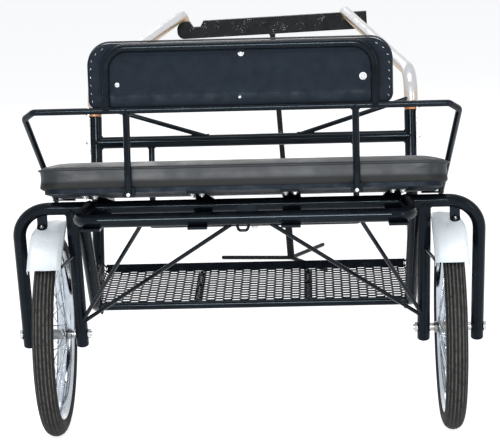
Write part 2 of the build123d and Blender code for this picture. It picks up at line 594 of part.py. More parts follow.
# ---------------------------------------------------------------- shafts, straps and vee braces
shaft_points = [
    (SHAFT_X, POST_TOP_Y, POST_TOP_Z),
    (SHAFT_X, SHAFT_BEND_Y, SHAFT_Z),
    (SHAFT_TIP_X, SHAFT_TIP_Y, SHAFT_TIP_Z),
    (SHAFT_TIP_X - SHAFT_TIP_TURN, SHAFT_TIP_Y + SHAFT_TIP_REACH, SHAFT_TIP_Z - SHAFT_TIP_DROP),
]
shaft_bends = [SHAFT_BEND_RADIUS, SHAFT_TIP_RADIUS]
shaft_filled = rod(shaft_points, SHAFT_TUBE, shaft_bends)
shaft = cut(tube(shaft_points, SHAFT_TUBE, SHAFT_WALL, shaft_bends), side_block)
add("shaft_right", shaft)
add("shaft_left", mirror(shaft, about=Plane.YZ))
vee = rod([(VEE_CENTRE_X, post_y(CROSSBAR_Z), CROSSBAR_Z),
           (POST_X, POST_TOP_Y, POST_TOP_Z + VEE_RISE)], VEE_TUBE)
add("vee_braces", both_sides(cut(vee, crossbar_filled, shaft_filled, side_block)))
strap_face = make_face(Polyline((-STRAP_TOP_WIDTH / 2, 0), (STRAP_TOP_WIDTH / 2, 0),
                                (STRAP_FOOT_WIDTH / 2, -STRAP_LENGTH), (-STRAP_FOOT_WIDTH / 2, -STRAP_LENGTH),
                                close=True))
post_lean = atan2(POST_TOP_Y - POST_FOOT_Y, POST_TOP_Z - side_low_front[2])
strap_x = SHAFT_X + SHAFT_TUBE / 2 - STRAP_THICKNESS
strap_y = POST_TOP_Y + STRAP_RISE * tan(post_lean)
strap_plane = Plane(origin=(strap_x, strap_y, POST_TOP_Z + STRAP_RISE),
                    x_dir=(0, cos(post_lean), -sin(post_lean)), z_dir=(1, 0, 0))
strap = extrude(strap_plane * strap_face, STRAP_THICKNESS)
add("shaft_straps", both_sides(cut(strap, shaft_filled, side_block)))

# ---------------------------------------------------------------- floor
floor_plane = Plane(origin=(0, FLOOR_REAR_Y, FLOOR_REAR_Z), x_dir=(1, 0, 0),
                    z_dir=(0, -sin(FLOOR_SLOPE), cos(FLOOR_SLOPE)))
floor_run = (FLOOR_FRONT_Y - FLOOR_REAR_Y) / cos(FLOOR_SLOPE)
rear_z = FLOOR_REAR_Z - MESH_THICKNESS / 2 - FLOOR_EDGE_TUBE / 2
rear_ends = [(-FLOOR_X, FLOOR_REAR_Y, rear_z), (FLOOR_X, FLOOR_REAR_Y, rear_z)]
rear_filled = rod(rear_ends, FLOOR_EDGE_TUBE)
add("floor_rear_tube", cut(tube(rear_ends, FLOOR_EDGE_TUBE, SMALL_WALL), *side_blocks))
mesh = floor_plane * Pos(0, floor_run / 2, 0) * Box(2 * FLOOR_X, floor_run, MESH_THICKNESS)
mesh = cut(mesh, rear_filled, *side_blocks)
add("floor_mesh", mesh)
for x in (-FLOOR_MEMBER_X, FLOOR_MEMBER_X):
    member = floor_plane * Pos(x, floor_run / 2, -(MESH_THICKNESS + FLOOR_MEMBER_HEIGHT) / 2) * Box(
        FLOOR_MEMBER_WIDTH, floor_run, FLOOR_MEMBER_HEIGHT)
    add("floor_members", cut(member, rear_filled))
lip_lean = radians(LIP_LEAN)
lip_plane = Plane(origin=(0, FLOOR_FRONT_Y, FLOOR_FRONT_Z), x_dir=(1, 0, 0),
                  z_dir=(0, -cos(lip_lean), sin(lip_lean)))
lip = lip_plane * Pos(0, LIP_HEIGHT / 2, 0) * Box(2 * FLOOR_X, LIP_HEIGHT, MESH_THICKNESS)
add("floor_lip", cut(lip, mesh, *side_blocks))
side_lean = radians(SIDE_LIP_LEAN)
edge_plane = Plane(origin=(FLOOR_X, FLOOR_REAR_Y, FLOOR_REAR_Z),
                   x_dir=(0, cos(FLOOR_SLOPE), sin(FLOOR_SLOPE)),
                   z_dir=(cos(side_lean), 0, -sin(side_lean)))
edge = edge_plane * Pos(floor_run / 2, SIDE_LIP_HEIGHT / 2, 0) * Box(
    floor_run, SIDE_LIP_HEIGHT, MESH_THICKNESS)
add("floor_side_lips", both_sides(cut(edge, mesh, lip, side_block, rear_filled)))

# ---------------------------------------------------------------- fenders
fender_r = AXLE_Z + FENDER_GAP
fender_inner_x = LEG_INNER_FACE + FENDER_LEG_GAP
fender_x = fender_inner_x + FENDER_WIDTH / 2


def fender_arc(inner_r, outer_r, x, width):
    """A curved strip round the wheel between the fender's end angles."""
    sweep_angle = FENDER_REAR_ANGLE - FENDER_FRONT_ANGLE
    outer = CenterArc((0, 0), outer_r, FENDER_FRONT_ANGLE, sweep_angle)
    inner = CenterArc((0, 0), inner_r, FENDER_FRONT_ANGLE, sweep_angle)
    face = make_face([outer, inner, Line(outer @ 0, inner @ 0), Line(outer @ 1, inner @ 1)])
    strip = Plane(origin=(fender_x + x - width / 2, 0, AXLE_Z), x_dir=(0, 1, 0), z_dir=(1, 0, 0))
    return extrude(strip * face, width)


fender = fender_arc(fender_r, fender_r + FENDER_THICKNESS, 0, FENDER_WIDTH)
flange_x = (FENDER_WIDTH - FENDER_THICKNESS) / 2
for x in (-flange_x, flange_x):
    fender = fender + fender_arc(fender_r - FENDER_FLANGE, fender_r + FENDER_THICKNESS, x, FENDER_THICKNESS)
fender_block = fender_arc(fender_r / 2, fender_r + FENDER_THICKNESS, 0, FENDER_WIDTH)

# The front outer corner is rounded off so that it clears the arch's bend
corner_x = fender_x + FENDER_WIDTH / 2 - FENDER_CORNER_WIDTH
corner_y = (fender_r + FENDER_THICKNESS) * cos(radians(FENDER_FRONT_ANGLE)) - FENDER_CORNER_LENGTH
corner = Pos(FENDER_CORNER_WIDTH / 2, FENDER_CORNER_LENGTH / 2) * Rectangle(
    FENDER_CORNER_WIDTH, FENDER_CORNER_LENGTH) - Ellipse(FENDER_CORNER_WIDTH, FENDER_CORNER_LENGTH)
fender = cut(fender, extrude(Pos(corner_x, corner_y, 0) * corner, 2 * ARCH_HEIGHT))
add("fenders", both_sides(fender))

# Tab hanging from the arch to the fender's outer face, and a stay from the inner leg
tab_low = AXLE_Z + fender_r * cos(asin(ARCH_SETBACK / fender_r))
tab = Pos(FENDER_TAB_X, -ARCH_SETBACK, (tab_low + ARCH_HEIGHT) / 2) * Box(
    FENDER_TAB_WIDTH, FENDER_TAB_THICKNESS, ARCH_HEIGHT - tab_low)
add("fender_tabs", both_sides(cut(tab, arch_filled, fender_block)))
stay_angle = radians(FENDER_STAY_ANGLE)
stay_y = (fender_r - FENDER_FLANGE / 2) * cos(stay_angle)
stay_z = AXLE_Z + (fender_r - FENDER_FLANGE / 2) * sin(stay_angle)
leg_at = -(stay_z - AXLE_Z) * tan(LEG_LEAN)
fender_stay = rod([(INNER_LEG_X, leg_at, stay_z), (fender_inner_x, stay_y, stay_z)],
                  FENDER_STAY_DIAMETER)
add("fender_stays", both_sides(cut(fender_stay, leg_filled, fender)))

# ---------------------------------------------------------------- shaft stand
along = (STAND_Y - SHAFT_BEND_Y) / (SHAFT_TIP_Y - SHAFT_BEND_Y)
shaft_bar_x = SHAFT_X + along * (SHAFT_TIP_X - SHAFT_X)
shaft_bar_z = SHAFT_Z + along * (SHAFT_TIP_Z - SHAFT_Z)

# The bar slopes because the right shaft lies in its notch and the left one on its lobe
bar_slope = asin(STAND_NOTCH_DEPTH / (2 * shaft_bar_x))
bar_low_z = shaft_bar_z - SHAFT_TUBE / 2 / cos(bar_slope) + STAND_SADDLE
bar_top = Vector(STAND_TOP_X, STAND_Y, bar_low_z + (STAND_TOP_X + shaft_bar_x) * tan(bar_slope))
bar_up = Vector(-sin(bar_slope), 0, cos(bar_slope))
bar_centre = bar_top - bar_up * (STAND_BAR_DEPTH / 2)
pole_top = bar_top - bar_up * STAND_BAR_DEPTH
pole_foot = Vector(STAND_FOOT_X, STAND_Y, STAND_LEG_TUBE / 4)
pole_dir = (pole_top - pole_foot).normalized()
bar_plane = Plane(origin=bar_centre, x_dir=(cos(bar_slope), 0, sin(bar_slope)), z_dir=(0, -1, 0))
bar_face = Rectangle(STAND_BAR_LENGTH, STAND_BAR_DEPTH)
bar_face = fillet(bar_face.vertices().group_by(Axis.X)[0], STAND_BAR_CORNER)
notch_top = STAND_BAR_DEPTH / 2
notch_lip = notch_top + STAND_NOTCH_OVERCUT
for x in (-STAND_NOTCH_X, STAND_NOTCH_X):
    half = STAND_NOTCH_WIDTH / 2
    notch = make_face(Polyline((x - half, notch_lip), (x - half / 2, notch_top - STAND_NOTCH_DEPTH),
                               (x + half / 2, notch_top - STAND_NOTCH_DEPTH), (x + half, notch_lip),
                               close=True))
    bar_face = bar_face - notch
stand_bar = extrude(bar_plane * bar_face, STAND_BAR_THICKNESS / 2, both=True)
add("stand_bar", cut(stand_bar, *both_sides(shaft_filled)))

# A fork holds the bar on top of the pole
fork_plane = Plane(origin=pole_top, x_dir=bar_plane.x_dir, z_dir=(0, -1, 0))
fork_block = Box(STAND_FORK_WIDTH, STAND_FORK_HEIGHT, STAND_BAR_THICKNESS + 2 * STAND_FORK_THICKNESS)
fork = fork_plane * Pos(0, STAND_FORK_HEIGHT / 2 - STAND_FORK_THICKNESS, 0) * fork_block - stand_bar
add("stand_fork", fork)
pole = cut(rod([tuple(pole_foot), tuple(pole_top)], STAND_POLE), fork)
add("stand_pole", pole)
sleeve_top = pole_foot + pole_dir * STAND_SLEEVE_HEIGHT
sleeve = cut(rod([tuple(pole_foot), tuple(sleeve_top)], STAND_SLEEVE), pole)
add("stand_sleeve", sleeve)
for direction in STAND_LEG_DIRECTIONS:
    turn = radians(direction)
    out = (STAND_FOOT_X + STAND_LEG_LENGTH * cos(turn), STAND_Y + STAND_LEG_LENGTH * sin(turn),
           STAND_LEG_TUBE / 2)
    leg = rod([(STAND_FOOT_X, STAND_Y, STAND_LEG_TUBE / 2), out], STAND_LEG_TUBE)
    leg = leg + Location(out) * Sphere(STAND_LEG_TUBE / 2)
    for near in pieces.get("stand_legs", []):
        leg = leg - near
    add("stand_legs", cut(leg, sleeve, pole))

# ---------------------------------------------------------------- export
everything = Compound(children=[Compound(label=n, children=s) for n, s in pieces.items()])
box = everything.bounding_box()
to_origin = Location((0, -(box.min.Y + box.max.Y) / 2, -box.min.Z))
os.makedirs("parts", exist_ok=True)
for node, solids in pieces.items():
    whole = [s for item in solids for s in item.solids()]
    shape = whole[0] if len(whole) == 1 else Compound(children=whole)
    export_step(to_origin * shape, "parts/" + node + ".step")
print("moved", to_origin.position, "size", box.size, "pivot", pivot_y, tree_z)
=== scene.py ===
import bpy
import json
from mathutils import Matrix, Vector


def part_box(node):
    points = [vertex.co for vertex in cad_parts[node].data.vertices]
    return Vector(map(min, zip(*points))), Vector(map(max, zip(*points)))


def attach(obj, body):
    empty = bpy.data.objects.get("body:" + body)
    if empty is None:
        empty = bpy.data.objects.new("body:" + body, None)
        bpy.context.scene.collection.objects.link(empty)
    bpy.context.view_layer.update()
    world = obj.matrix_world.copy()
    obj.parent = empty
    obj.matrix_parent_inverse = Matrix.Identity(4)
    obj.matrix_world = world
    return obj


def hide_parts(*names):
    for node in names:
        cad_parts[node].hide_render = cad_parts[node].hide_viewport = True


bl_info = {
    "name": "Two-Wheeled Horse Cart",
    "version": (1, 0, 0),
    "blender": (4, 5, 0),
    "location": "View3D > Sidebar > Horse Cart",
    "description": "Finishes, seat, wheels, mesh floor, fixings and studio for a two-wheeled horse cart",
    "category": "Object",
}

import json
import math

import bmesh
import bpy
from bpy.props import FloatProperty, FloatVectorProperty, IntProperty, PointerProperty
from bpy.types import Operator, Panel, PropertyGroup
from mathutils import Matrix, Vector

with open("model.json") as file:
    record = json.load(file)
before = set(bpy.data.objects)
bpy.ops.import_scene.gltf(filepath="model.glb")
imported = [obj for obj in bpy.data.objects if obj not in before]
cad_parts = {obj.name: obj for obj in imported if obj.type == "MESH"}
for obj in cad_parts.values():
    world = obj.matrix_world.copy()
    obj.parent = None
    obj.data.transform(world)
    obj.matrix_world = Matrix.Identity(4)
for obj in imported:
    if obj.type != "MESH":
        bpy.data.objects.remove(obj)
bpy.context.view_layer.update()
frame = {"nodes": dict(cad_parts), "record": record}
NODES = frame["nodes"]
AXLE_LOW, AXLE_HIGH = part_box("axles")
AXLE_Y = (AXLE_LOW.y + AXLE_HIGH.y) / 2
TYRE_LOW, TYRE_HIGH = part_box("tyre_right")
WHEEL_RADIUS = (TYRE_HIGH.z - TYRE_LOW.z) / 2
TYRE_WIDTH = TYRE_HIGH.x - TYRE_LOW.x
WHEEL_CENTRE = (TYRE_LOW + TYRE_HIGH) / 2
MM = 0.001
MERGE = 1e-6
SEAT_NORMAL = Vector(next(m["axis"] for m in frame["record"]["mounts"] if m["name"] == "seat_top"))
SEAT_TOP = Vector(next(m["pos_m"] for m in frame["record"]["mounts"] if m["name"] == "seat_top"))
BACK_CORNER, BACK_LOWER_CORNER = 0.060, 0.022
HOOP_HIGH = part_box("back_hoop")[1]


def at(x, y, z):
    """A place given in millimetres from the ground under the middle of the axle."""
    return Vector((x * MM, AXLE_Y + y * MM, z * MM))


# ---------------------------------------------------------------- settings
def colour(label, words, value):
    return FloatVectorProperty(name=label, description=words, subtype="COLOR", size=3, min=0, max=1, default=value)


def length(label, words, value):
    return FloatProperty(name=label, description=words, subtype="DISTANCE", unit="LENGTH", min=0, default=value)


def angle(label, words, degrees):
    return FloatProperty(name=label, description=words, subtype="ANGLE", unit="ROTATION",
                         default=math.radians(degrees))


def count(label, words, value):
    return IntProperty(name=label, description=words, min=1, default=value)


class CartFinishSettings(PropertyGroup):
    frame_paint: colour("Frame paint", "Gloss black powder coat on the steel tubes", (0.0030, 0.0042, 0.0062))
    stand_paint: colour("Stand paint", "Worn black paint on the shaft stand", (0.0040, 0.0052, 0.0062))
    vinyl: colour("Seat vinyl", "Charcoal vinyl on the cushion and backrest", (0.0235, 0.0275, 0.0320))
    board: colour("Backrest board", "Blue-black covering on the back of the backrest", (0.0045, 0.0072, 0.0120))
    rubber: colour("Tyre rubber", "Black tyre rubber", (0.0100, 0.0100, 0.0108))
    tread_dust: colour("Tread dust", "Pale dust in the grooves of the tread", (0.20, 0.195, 0.18))
    chrome: colour("Chrome", "Chromed rims and spokes", (0.50, 0.55, 0.61))
    hub_steel: colour("Hub steel", "Satin steel hubs", (0.21, 0.235, 0.26))
    zinc: colour("Zinc", "Zinc-plated bolts, nuts and washers", (0.58, 0.585, 0.58))
    aluminium: colour("Shaft aluminium", "Polished aluminium shafts", (0.62, 0.62, 0.63))
    # painted reflection: this warm colour, painted under the shafts, stands in for a tan ground reflected in them
    shaft_painted_reflection: colour("Shaft painted reflection", "Warm ground reflection painted under the shafts", (0.58, 0.40, 0.22))
    fender: colour("Fender", "Silver-white fenders", (0.76, 0.82, 0.86))
    chip: colour("Paint chip", "Pale spots where paint has come off", (0.62, 0.64, 0.64))


class CartSeatSettings(PropertyGroup):
    crown: length("Cushion crown", "How far the middle of the top stands above its seam", 0.004)
    pull_in: length("Side pull-in", "How far the foam is drawn in before it swells", 0.008)
    overhang: length("Overhang", "How much further than the plain cushion its padded ends reach", 0.007)
    # painted shade: where the near-black band on the lower part of the cushion's sides begins
    painted_shade_start: length("Painted shade start", "How far under the top the painted shade on the cushion's sides starts", 0.042)
    piping: length("Piping radius", "Radius of the sewn piping", 0.0026)
    cell: length("Cloth cell", "Spacing of the cloth mesh", 0.006)
    swell_cap: length("Swell cap", "The most that a point of the cover may move", 0.007)
    steps: count("Cloth steps", "Steps of the cloth simulation", 20)


class CartFloorSettings(PropertyGroup):
    long_way: length("Long way", "Width of one diamond across the cart", 0.052)
    short_way: length("Short way", "Length of one diamond along the cart", 0.024)
    strand: length("Strand width", "Width of one strand", 0.0053)
    thickness: length("Strand thickness", "Thickness of one strand", 0.0018)
    tilt: angle("Strand tilt", "How far each strand is turned out of the sheet", 30)


class CartWheelSettings(PropertyGroup):
    grooves: count("Grooves", "Grooves round the tread", 6)
    groove_spread: angle("Groove spread", "Angle over the tread from the first groove to the last", 104)
    groove_width: angle("Groove width", "Width of one groove, as an angle of the tyre's section", 6.5)
    groove_depth: length("Groove depth", "Depth of one groove", 0.0030)
    segments: count("Ring segments", "Segments round each tyre and rim", 144)
    nipple: length("Nipple radius", "Radius of one spoke nipple", 0.0028)


class CartFixingSettings(PropertyGroup):
    staple_pitch: length("Staple pitch", "Distance between the staples at the backrest's ends", 0.020)
    staple_length: length("Staple length", "Length of one staple", 0.0060)
    weld_bead: length("Weld bead", "Radius of the ripples of a weld", 0.0034)


class CartStageSettings(PropertyGroup):
    camera_place: FloatVectorProperty(
        name="Camera", description="Camera, from the ground under the middle of the axle", subtype="TRANSLATION",
        unit="LENGTH", size=3, default=(0.190, -5.600, 1.731))
    yaw: angle("Yaw", "Turn of the camera to the left", 1.92)
    pitch: angle("Pitch", "Tilt of the camera downwards", 11.04)
    roll: angle("Roll", "Roll of the camera, which lifts the right of the picture", 1.61)
    focal: FloatProperty(name="Focal length", description="Focal length in millimetres on a 36 mm sensor",
                         min=1, default=139.03)
    floor_size: length("Floor size", "Edge of the square studio floor", 90.0)


def settings():
    return bpy.context.scene.horse_cart


class CartSettings(PropertyGroup):
    finish: PointerProperty(type=CartFinishSettings, name="Finishes", description="Colours of the cart")
    seat: PointerProperty(type=CartSeatSettings, name="Seat", description="Cushion and backrest")
    floor: PointerProperty(type=CartFloorSettings, name="Floor", description="Expanded metal floor")
    wheels: PointerProperty(type=CartWheelSettings, name="Wheels", description="Tyres, rims and spokes")
    fixings: PointerProperty(type=CartFixingSettings, name="Fixings", description="Staples, bolts and welds")
    stage: PointerProperty(type=CartStageSettings, name="Stage", description="Camera, lamps and floor")


# ---------------------------------------------------------------- node trees
def fill(tree, socket, value):
    """Links a socket, or gives it a plain value."""
    if isinstance(value, bpy.types.NodeSocket):
        tree.links.new(value, socket)
    else:
        socket.default_value = value


def add_node(tree, kind, links=None, **values):
    """A node with its settings made and its inputs set or linked."""
    made = tree.nodes.new(kind)
    for key, value in values.items():
        setattr(made, key, value)
    for key, value in (links or {}).items():
        fill(tree, made.inputs[key], value)
    return made


def node_out(tree, kind, links=None, **values):
    """The first output of a new node."""
    return add_node(tree, kind, links, **values).outputs[0]


def maths(tree, operation, first, second=0.0, clamp=False):
    return node_out(tree, "ShaderNodeMath", {0: first, 1: second}, operation=operation, use_clamp=clamp)


def here(tree):
    """The place on the object, in metres."""
    return add_node(tree, "ShaderNodeTexCoord").outputs["Object"]


def split(tree, value):
    """The three parts of a vector."""
    return add_node(tree, "ShaderNodeSeparateXYZ", {0: value}).outputs


def joined(tree, x=0.0, y=0.0, z=0.0):
    """A vector from its three parts."""
    return node_out(tree, "ShaderNodeCombineXYZ", {0: x, 1: y, 2: z})


def ramp(tree, value, low=0.0, high=1.0, start=0.0, end=1.0):
    """A value brought from low..high to start..end and held there."""
    return node_out(tree, "ShaderNodeMapRange", {
        "Value": value, "From Min": low, "From Max": high, "To Min": start, "To Max": end})


def upward_facing(tree):
    """How far a face looks up, from -1 to 1."""
    return split(tree, add_node(tree, "ShaderNodeNewGeometry").outputs["Normal"])["Z"]


def attribute(tree, name, kind="FLOAT"):
    """A value that the starting mesh carries on its points."""
    return node_out(tree, "GeometryNodeInputNamedAttribute", {"Name": name}, data_type=kind)


def random_between(tree, low, high, seed):
    """A number for each instance, the same in each run."""
    return add_node(tree, "FunctionNodeRandomValue", {2: low, 3: high, "Seed": seed}, data_type="FLOAT").outputs[1]


def new_tree(name, kind, inputs, outputs):
    """A node group with named sockets, and its input and output nodes."""
    tree = bpy.data.node_groups.new(name, kind)
    for label, socket, *value in inputs:
        made = tree.interface.new_socket(label, in_out="INPUT", socket_type=socket)
        if value:
            made.default_value = value[0]
    for label, socket in outputs:
        tree.interface.new_socket(label, in_out="OUTPUT", socket_type=socket)
    return tree, tree.nodes.new("NodeGroupInput").outputs, tree.nodes.new("NodeGroupOutput").inputs


FLOAT, INTEGER, VECTOR = "NodeSocketFloat", "NodeSocketInt", "NodeSocketVector"
GEOMETRY, MATERIAL = "NodeSocketGeometry", "NodeSocketMaterial"


def geometry_tree(name, *inputs):
    """A tree from a starting mesh, with its own inputs, to the geometry in its material."""
    return new_tree(name, "GeometryNodeTree", [
        ("Geometry", GEOMETRY), *inputs, ("Material", MATERIAL)], [("Geometry", GEOMETRY)])


def effect_tree(name, output, *inputs):
    """A shader group from its own inputs to one number."""
    return new_tree(name, "ShaderNodeTree", inputs, [(output, FLOAT)])


# ---------------------------------------------------------------- shared effects
CHIP_WARP = 0.006
CHIP_SHARPNESS = 12.0


def cloud_effect():
    """Soft patches from 0 to 1 that break up a colour or a gloss."""
    tree, given, result = effect_tree(
        "Patches", "Shade", ("Scale", FLOAT, 8.0), ("Detail", FLOAT, 4.0), ("Low", FLOAT, 0.35),
        ("High", FLOAT, 0.65), ("Stretch", VECTOR, (1, 1, 1)))
    mapped = node_out(tree, "ShaderNodeMapping", {"Vector": here(tree), "Scale": given["Stretch"]})
    cloud = add_node(tree, "ShaderNodeTexNoise", {
        "Vector": mapped, "Scale": given["Scale"], "Detail": given["Detail"], "Roughness": 0.6})
    tree.links.new(ramp(tree, cloud.outputs["Fac"], given["Low"], given["High"]), result["Shade"])
    return tree


def speck_effect():
    """Small spots, gathered in patches, where paint has come off."""
    tree, given, result = effect_tree(
        "Chips", "Mask", ("Scale", FLOAT, 160.0), ("Amount", FLOAT, 0.1), ("Gather", FLOAT, 14.0))
    place = here(tree)
    warp = add_node(tree, "ShaderNodeTexNoise", {"Vector": place, "Scale": given["Scale"], "Detail": 2.0})
    shift = node_out(tree, "ShaderNodeVectorMath", {0: warp.outputs["Color"], 1: (CHIP_WARP,) * 3},
                     operation="MULTIPLY")
    moved = node_out(tree, "ShaderNodeVectorMath", {0: place, 1: shift}, operation="ADD")
    cells = add_node(tree, "ShaderNodeTexVoronoi", {"Vector": moved, "Scale": given["Scale"]})
    gather = add_node(tree, "ShaderNodeTexNoise", {"Vector": place, "Scale": given["Gather"], "Detail": 3.0})
    reach = maths(tree, "MULTIPLY", ramp(tree, gather.outputs["Fac"], 0.46, 0.72), given["Amount"])
    inside = maths(tree, "SUBTRACT", reach, cells.outputs["Distance"])
    tree.links.new(maths(tree, "MULTIPLY", inside, CHIP_SHARPNESS, clamp=True), result["Mask"])
    return tree


def dust_effect():
    """Dust that settles in patches on faces that look up."""
    tree, given, result = effect_tree(
        "Settled Dust", "Mask", ("Scale", FLOAT, 12.0), ("Amount", FLOAT, 0.4), ("Everywhere", FLOAT, 0.1))
    up = maths(tree, "MAXIMUM", upward_facing(tree), given["Everywhere"])
    cloud = add_node(tree, "ShaderNodeTexNoise", {
        "Vector": here(tree), "Scale": given["Scale"], "Detail": 6.0, "Roughness": 0.65})
    settled = maths(tree, "MULTIPLY", up, ramp(tree, cloud.outputs["Fac"], 0.38, 0.72))
    tree.links.new(maths(tree, "MULTIPLY", settled, given["Amount"], clamp=True), result["Mask"])
    return tree


def grain_effect():
    """Fine surface relief: pebbled cells with softer waves under them."""
    tree, given, result = effect_tree(
        "Grain", "Height", ("Cell Scale", FLOAT, 600.0), ("Wave Scale", FLOAT, 40.0), ("Cell Depth", FLOAT, 0.5),
        ("Wave Depth", FLOAT, 0.5), ("Stretch", VECTOR, (1, 1, 1)))
    mapped = node_out(tree, "ShaderNodeMapping", {"Vector": here(tree), "Scale": given["Stretch"]})
    cells = add_node(tree, "ShaderNodeTexVoronoi", {"Vector": mapped, "Scale": given["Cell Scale"]},
                     feature="SMOOTH_F1")
    wave = add_node(tree, "ShaderNodeTexNoise", {"Vector": mapped, "Scale": given["Wave Scale"], "Detail": 3.0})
    low = maths(tree, "MULTIPLY", wave.outputs["Fac"], given["Wave Depth"])
    fine = maths(tree, "MULTIPLY", cells.outputs["Distance"], given["Cell Depth"])
    tree.links.new(maths(tree, "ADD", low, fine), result["Height"])
    return tree


EFFECTS = {}


def effect(tree, name, **values):
    """One shared effect placed in a material with its own values, as its single output."""
    makers = {"Patches": cloud_effect, "Chips": speck_effect, "Settled Dust": dust_effect, "Grain": grain_effect}
    if name not in EFFECTS:
        EFFECTS[name] = makers[name]()
    made = add_node(tree, "ShaderNodeGroup", node_tree=EFFECTS[name])
    for label, value in values.items():
        made.inputs[label.replace("_", " ")].default_value = value
    return made.outputs[0]


def mix(tree, factor, first, second):
    """A colour between two."""
    made = add_node(tree, "ShaderNodeMix", data_type="RGBA")
    for index, value in ((0, factor), (6, first), (7, second)):
        plain = index and not isinstance(value, bpy.types.NodeSocket)
        fill(tree, made.inputs[index], (*value, 1.0) if plain else value)
    return made.outputs[2]


class Finish:
    """A material that is built up in layers, then joined to its surface shader."""

    def __init__(self, name, roughness, metallic=0.0, **sockets):
        self.material = bpy.data.materials.new(name)
        self.material.use_nodes = True
        self.tree = self.material.node_tree
        self.tree.nodes.clear()
        self.surface = add_node(self.tree, "ShaderNodeBsdfPrincipled", {
            "Roughness": roughness, "Metallic": metallic, **sockets})
        add_node(self.tree, "ShaderNodeOutputMaterial", {"Surface": self.surface.outputs[0]})
        self.gloss = roughness
        self.bumps = []

    def base(self, first, second=None, **patches):
        """The colour, broken up between two shades."""
        if second is None:
            second = tuple(min(1.0, c * 1.35 + 0.001) for c in first)
        self.hue = mix(self.tree, effect(self.tree, "Patches", **patches), first, second)
        return self

    def vary_gloss(self, low, high, **patches):
        """Roughness that changes over the surface."""
        self.gloss = ramp(self.tree, effect(self.tree, "Patches", **patches), start=low, end=high)
        return self

    def layer(self, mask, hue, roughness=None):
        """Another colour over the last one, with its own roughness."""
        self.hue = mix(self.tree, mask, self.hue, hue)
        if roughness is not None:
            self.gloss = node_out(self.tree, "ShaderNodeMix", {0: mask, 2: self.gloss, 3: roughness},
                                  data_type="FLOAT")
        return self

    def relief(self, height, distance, strength, invert=False):
        """Bump from a height."""
        links = {"Height": height, "Distance": distance, "Strength": strength}
        if self.bumps:
            links["Normal"] = self.bumps[-1]
        self.bumps.append(node_out(self.tree, "ShaderNodeBump", links, invert=invert))
        return self

    def chips(self, scale, amount, gather, hue, roughness):
        """Spots where the finish has come off."""
        return self.layer(effect(self.tree, "Chips", Scale=scale, Amount=amount, Gather=gather), hue, roughness)

    def dust(self, scale, amount, hue):
        """A thin film on the faces that look up."""
        return self.layer(effect(self.tree, "Settled Dust", Scale=scale, Amount=amount), hue, 0.6)

    def grain(self, cells, waves, distance, strength, **more):
        """Fine bump from cells and waves of these scales."""
        return self.relief(effect(self.tree, "Grain", Cell_Scale=cells, Wave_Scale=waves, **more), distance, strength)

    def done(self):
        self.tree.links.new(self.hue, self.surface.inputs["Base Color"])
        if isinstance(self.gloss, bpy.types.NodeSocket):
            self.tree.links.new(self.gloss, self.surface.inputs["Roughness"])
        if self.bumps:
            self.tree.links.new(self.bumps[-1], self.surface.inputs["Normal"])
        return self.material


# ---------------------------------------------------------------- finishes of this cart
def shade(name):
    """A colour from the settings."""
    return tuple(getattr(settings().finish, name))


def dimmed(hue, factor):
    return tuple(c * factor for c in hue)


def frame_paint():
    # painted reflection: the bluish specular tint colours the tubes' reflections like a reflected blue sky
    made = Finish("gloss_black_powder_coat", 0.12, **{
        "Specular IOR Level": 0.13, "Specular Tint": (0.70, 0.88, 1.0, 1.0)})
    hue = shade("frame_paint")
    made.base(hue, dimmed(hue, 2.2), Scale=9.0)
    made.vary_gloss(0.08, 0.20, Scale=22.0)
    made.dust(30.0, 0.03, (0.20, 0.21, 0.22))
    made.chips(240.0, 0.16, 9.0, shade("chip"), 0.5)
    made.grain(420.0, 55.0, 0.0004, 0.15)
    return made.done()


def stand_paint():
    made = Finish("worn_black_stand_paint", 0.42, **{"Specular IOR Level": 0.13})
    made.base(shade("stand_paint"), (0.009, 0.0105, 0.012), Scale=16.0)
    made.vary_gloss(0.3, 0.6, Scale=40.0)
    chips = effect(made.tree, "Chips", Scale=210.0, Amount=0.42, Gather=20.0)
    made.layer(chips, shade("chip"), 0.6)
    made.grain(260.0, 60.0, 0.0008, 0.6)
    made.relief(chips, 0.0006, 0.8, invert=True)
    return made.done()


def rubber():
    """Tyre rubber, with dust that follows the grooves round the section."""
    made = Finish("tyre_rubber", 0.7, **{"Specular IOR Level": 0.12})
    tree = made.tree
    made.base(shade("rubber"), (0.017, 0.017, 0.018), Scale=30.0)
    place = split(tree, here(tree))
    across = maths(tree, "SUBTRACT", maths(tree, "ABSOLUTE", place["X"]), WHEEL_CENTRE.x)
    forward = maths(tree, "SUBTRACT", place["Y"], AXLE_Y)
    upward = maths(tree, "SUBTRACT", place["Z"], WHEEL_CENTRE.z)
    out = maths(tree, "SQRT", maths(tree, "ADD", maths(tree, "MULTIPLY", forward, forward),
                                    maths(tree, "MULTIPLY", upward, upward)))
    half = WHEEL_RADIUS - TYRE_WIDTH / 2
    turn = maths(tree, "ARCTAN2", across, maths(tree, "SUBTRACT", out, half))
    wheels = settings().wheels
    pitch = wheels.groove_spread / (wheels.grooves - 1)
    phase = maths(tree, "PINGPONG", maths(tree, "ADD", turn, wheels.groove_spread / 2), pitch / 2)
    line = ramp(tree, phase, 0.085, 0.035)
    edge = wheels.groove_spread / 2
    inside = ramp(tree, maths(tree, "ABSOLUTE", turn), edge + 0.12, edge + 0.02)
    patches = effect(tree, "Patches", Scale=70.0, Low=0.24, High=0.55)
    groove = maths(tree, "MULTIPLY", maths(tree, "MULTIPLY", line, inside), patches)
    made.layer(maths(tree, "MULTIPLY", groove, 0.85), shade("tread_dust"), 0.9)
    scuffs = effect(tree, "Patches", Scale=150.0, Low=0.52, High=0.8)
    made.layer(maths(tree, "MULTIPLY", scuffs, 0.14), shade("tread_dust"), 0.85)
    made.grain(700.0, 130.0, 0.0008, 0.6)
    return made.done()


